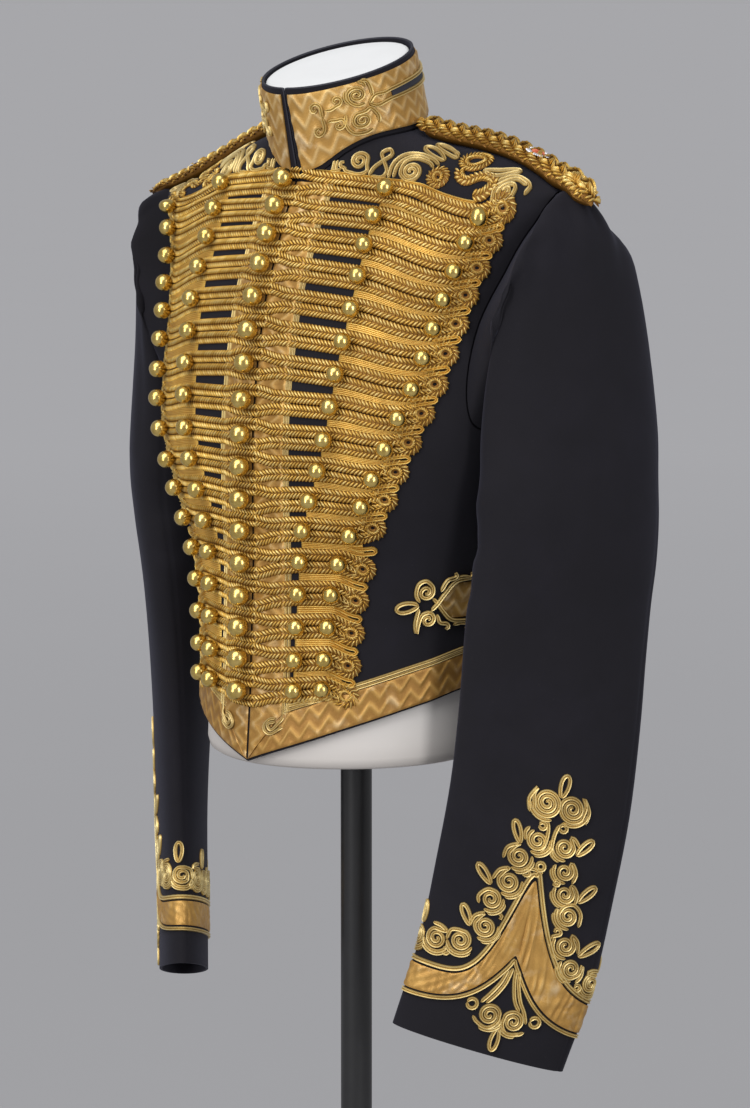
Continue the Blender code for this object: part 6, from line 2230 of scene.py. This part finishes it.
class TUNIC_OT_shoulders(TunicOperator, bpy.types.Operator):
    """Plaited shoulder cords with their stars"""

    bl_idname = "tunic.shoulders"
    bl_label = "Shoulder Cords"
    makes = ("shoulder_plait_left", "shoulder_plait_right", "star_rays_left", "star_heart_left")

    def make(self, sizes):
        """Three braids plaited over a core, then the star."""
        xs = np.linspace(CORD_FROM_X, CORD_END_X, 61)
        z = np.convolve(np.pad(shoulder_line(xs), 4, mode="edge"), np.ones(9) / 9.0, mode="valid")
        centre = np.stack([xs, np.linspace(*CORD_Y, len(xs)), z + CORD_HALF_H + 0.0004], axis=1)
        ahead = unit(np.gradient(centre, axis=0))
        across = unit(np.cross(np.array([0.0, 0.0, 1.0]), ahead))
        up = np.cross(ahead, across)
        run = run_of(centre)
        from_end = np.minimum(run, run[-1] - run)
        plait = Bag()
        self.core(plait, centre, across, up, from_end)
        end = np.clip(from_end / 0.006, 0.0, 1.0) ** 0.5
        for k in range(3):
            phase = CIRCLE * k / 3.0
            swing = np.sin(CIRCLE * run / PLAIT_PITCH + phase)
            lap = np.sin(4 * math.pi * run / PLAIT_PITCH + 2 * phase)
            at = centre + (PLAIT_SWING * swing * end)[:, None] * across
            at = at + (PLAIT_RISE + PLAIT_LAP * lap)[:, None] * up
            lean = unit(up + (PLAIT_LEAN * swing)[:, None] * across)
            fine = even(np.hstack([at, lean]), 240)
            braid(plait, fine[:, :3], unit(fine[:, 3:]), *PLAIT_BRAID, seed=40 + k)
        self.knot(plait, centre[-6], ahead[-6], across[-6], up[-6])
        k = 2 * (len(centre) - 1) // 3
        hub = centre[k] + up[k] * (CORD_HALF_H + 0.0016)
        rays, heart = self.star(hub, ahead[k], across[k], up[k])
        for side, right in SIDES:
            cord = ("shoulder_cord_" + side,)
            plait.piece("shoulder_plait_" + side, "braid_gold", "gold_braid", cord, right, sharp=80.0)
            star = ("shoulder_star_" + side,)
            rays.piece("star_rays_" + side, "silver_wire", "silver_star", star, right)
            heart.piece("star_heart_" + side, "red_silk", "silver_star", right=right)

    @staticmethod
    def core(bag, centre, across, up, from_end):
        """Soft core under the plait, toned dark as painted shade between the braids."""
        t = np.linspace(0.0, CIRCLE, 25)[:-1]
        size = np.sqrt(np.clip(from_end / 0.010, 0.05, 1.0))[:, None, None]
        rings = centre[:, None] + size * (
            CORE_HALF_W * np.cos(t)[None, :, None] * across[:, None]
            + CORE_HALF_H * np.sin(t)[None, :, None] * up[:, None])
        # Tone 0.1: painted shade showing between the braids.
        bag.add(*tube(rings), 0.1)

    @staticmethod
    def knot(bag, hub, ahead, across, up):
        """Turn of braid that ends the plait at the sleeve."""
        t = np.linspace(0.0, CIRCLE, 49)[:, None]
        spoke = np.cos(t) * ahead + np.sin(t) * across
        ring = hub + KNOT_RISE * up + KNOT_R * spoke
        braid(bag, ring, unit(up + 0.5 * spoke), *KNOT_BRAID, seed=47, closed=True)

    @staticmethod
    def star(hub, ahead, across, up):
        """Rays in groups and the heart of a round star."""
        middle = 0.5 * (STAR_RAYS - 1)
        grouped = [
            360.0 / STAR_GROUPS * group + 18.0 + STAR_RAY_STEP * (ray - middle)
            for group in range(STAR_GROUPS) for ray in range(STAR_RAYS)
        ]
        made = []
        for degrees, form, start in (
            (grouped, (0.0046, 0.0017, 0.0013), 0.0057),
            (np.arange(0.0, 360.0, 15.0), (0.0050, 0.0013, 0.0016), 0.0006),
        ):
            t = np.radians(degrees)[:, None]
            out = np.cos(t) * ahead + np.sin(t) * across
            ups = np.repeat(up[None], len(t), 0)
            foot = hub + start * out + 0.0004 * up
            bag = Bag()
            stamp(bag, stitch_form(*form), foot, out, unit(np.cross(ups, out)), ups, 0.8)
            made.append(bag)
        return made


def aim(obj, at, target):
    """Turn an object's -Z toward a target."""
    ahead = unit(np.array(target, float) - np.array(at, float))
    right = unit(np.cross(ahead, np.array([0.0, 0.0, 1.0])))
    up = np.cross(right, ahead)
    rows = [[right[i], up[i], -ahead[i], at[i]] for i in range(3)]
    obj.matrix_world = Matrix(rows + [[0.0, 0.0, 0.0, 1.0]])


class TUNIC_OT_stage(TunicOperator, bpy.types.Operator):
    """Floor, soft studio lights and camera"""

    bl_idname = "tunic.stage"
    bl_label = "Studio"
    makes = ("studio_floor", "studio_camera")

    def make(self, sizes):
        """Pale floor under even light, camera level with the shoulders."""
        scene = bpy.context.scene
        colours = scene.tunic_colours
        turn = math.radians(CAMERA_TURN)
        here = np.array([math.sin(turn), -math.cos(turn), 0.0])
        aside = np.array([math.cos(turn), math.sin(turn), 0.0])
        self.floor(tuple(colours.floor))
        self.air(scene, colours.air)
        self.lights(here, aside)
        self.camera(scene, here, aside)
        scene.view_settings.view_transform = "Standard"

    @staticmethod
    def linked(name, data):
        """Object of some data, in the scene."""
        obj = bpy.data.objects.new(name, data)
        bpy.context.scene.collection.objects.link(obj)
        return obj

    def floor(self, shade):
        """Level floor out to the horizon."""
        rings = [level_ring(r, 0.0, FLOOR_SIDES) for r in FLOOR_RINGS]
        points, quads, _ = tube(np.array(rings))
        faces = [tuple(int(i) for i in q[::-1]) for q in quads] + [tuple(range(FLOOR_SIDES))]
        mesh = bpy.data.meshes.new("studio_floor")
        mesh.from_pydata([tuple(p) for p in points], [], faces)
        mesh.materials.append(look("studio_paper", shade))
        self.linked("studio_floor", mesh)

    @staticmethod
    def air(scene, colour):
        """Even light all round."""
        world = bpy.data.worlds.new("studio_air")
        world.use_nodes = True
        air = world.node_tree.nodes["Background"]
        air.inputs["Color"].default_value = (*colour, 1.0)
        air.inputs["Strength"].default_value = 1.0
        scene.world = world

    def lights(self, here, aside):
        """Soft sun from above the camera and two tall boxes beside it."""
        sun = bpy.data.lights.new("soft_sun", "SUN")
        sun.energy = SUN_ENERGY
        sun.angle = math.radians(SUN_SOFTNESS)
        aim(self.linked("soft_sun", sun), 2.0 * here - 1.4 * aside + (0.0, 0.0, 4.4), (0.0, 0.0, 0.9))
        for name, at in (("left_box", 1.55 * here - 1.30 * aside), ("right_box", 1.75 * here + 1.05 * aside)):
            lamp = bpy.data.lights.new(name, "AREA")
            lamp.shape = "RECTANGLE"
            lamp.size, lamp.size_y = BOX_SIZE
            lamp.energy = BOX_POWER
            aim(self.linked(name, lamp), at + (0.0, 0.0, BOX_Z), (0.0, 0.0, 0.95))

    def camera(self, scene, here, aside):
        """Long lens, aimed so that the pole stands where it should in the frame."""
        lens = bpy.data.cameras.new("studio_camera")
        lens.sensor_fit = "VERTICAL"
        lens.sensor_height = SENSOR
        lens.sensor_width = SENSOR
        lens.lens = FOCAL_PX / FRAME_H * SENSOR
        lens.clip_end = 4000.0
        yaw = math.atan((POLE_PX - 0.5 * FRAME_W) / FOCAL_PX)
        pitch = math.atan(0.5 * FRAME_H / FOCAL_PX)
        ahead = -here * math.cos(-yaw) + aside * math.sin(-yaw)
        ahead = ahead * math.cos(pitch) - np.array([0.0, 0.0, math.sin(pitch)])
        place = CAMERA_AWAY * here + (0.0, 0.0, CAMERA_Z)
        scene.camera = self.linked("studio_camera", lens)
        aim(scene.camera, place, place + ahead)


class TUNIC_PT_panel(bpy.types.Panel):
    """Tunic makers in the 3D view's sidebar"""

    bl_idname = "TUNIC_PT_panel"
    bl_label = "Military Dress Tunic"
    bl_space_type = "VIEW_3D"
    bl_region_type = "UI"
    bl_category = "Tunic"

    def draw(self, context):
        """List the sizes, colours and makers."""
        scene = context.scene
        for group, kind in ((scene.tunic_sizes, TunicSizes), (scene.tunic_colours, TunicColours)):
            for name in kind.__annotations__:
                self.layout.prop(group, name)
        for maker in MAKERS:
            self.layout.operator(maker.bl_idname)


MAKERS = (
    TUNIC_OT_form, TUNIC_OT_panels, TUNIC_OT_sleeves, TUNIC_OT_collar, TUNIC_OT_seams, TUNIC_OT_laces,
    TUNIC_OT_frogging, TUNIC_OT_buttons, TUNIC_OT_cords, TUNIC_OT_tracing, TUNIC_OT_shoulders, TUNIC_OT_stage,
)
CLASSES = (TunicSizes, TunicColours) + MAKERS + (TUNIC_PT_panel,)


def register():
    """Register every class and the scene's settings."""
    for cls in CLASSES:
        bpy.utils.register_class(cls)
    bpy.types.Scene.tunic_sizes = bpy.props.PointerProperty(type=TunicSizes)
    bpy.types.Scene.tunic_colours = bpy.props.PointerProperty(type=TunicColours)


def unregister():
    """Take the classes and settings away again."""
    del bpy.types.Scene.tunic_colours
    del bpy.types.Scene.tunic_sizes
    for cls in reversed(CLASSES):
        bpy.utils.unregister_class(cls)


def main():
    """Make every piece in order."""
    register()
    for maker in MAKERS:
        area, name = maker.bl_idname.split(".")
        getattr(getattr(bpy.ops, area), name)()


if __name__ == "__main__":
    main()
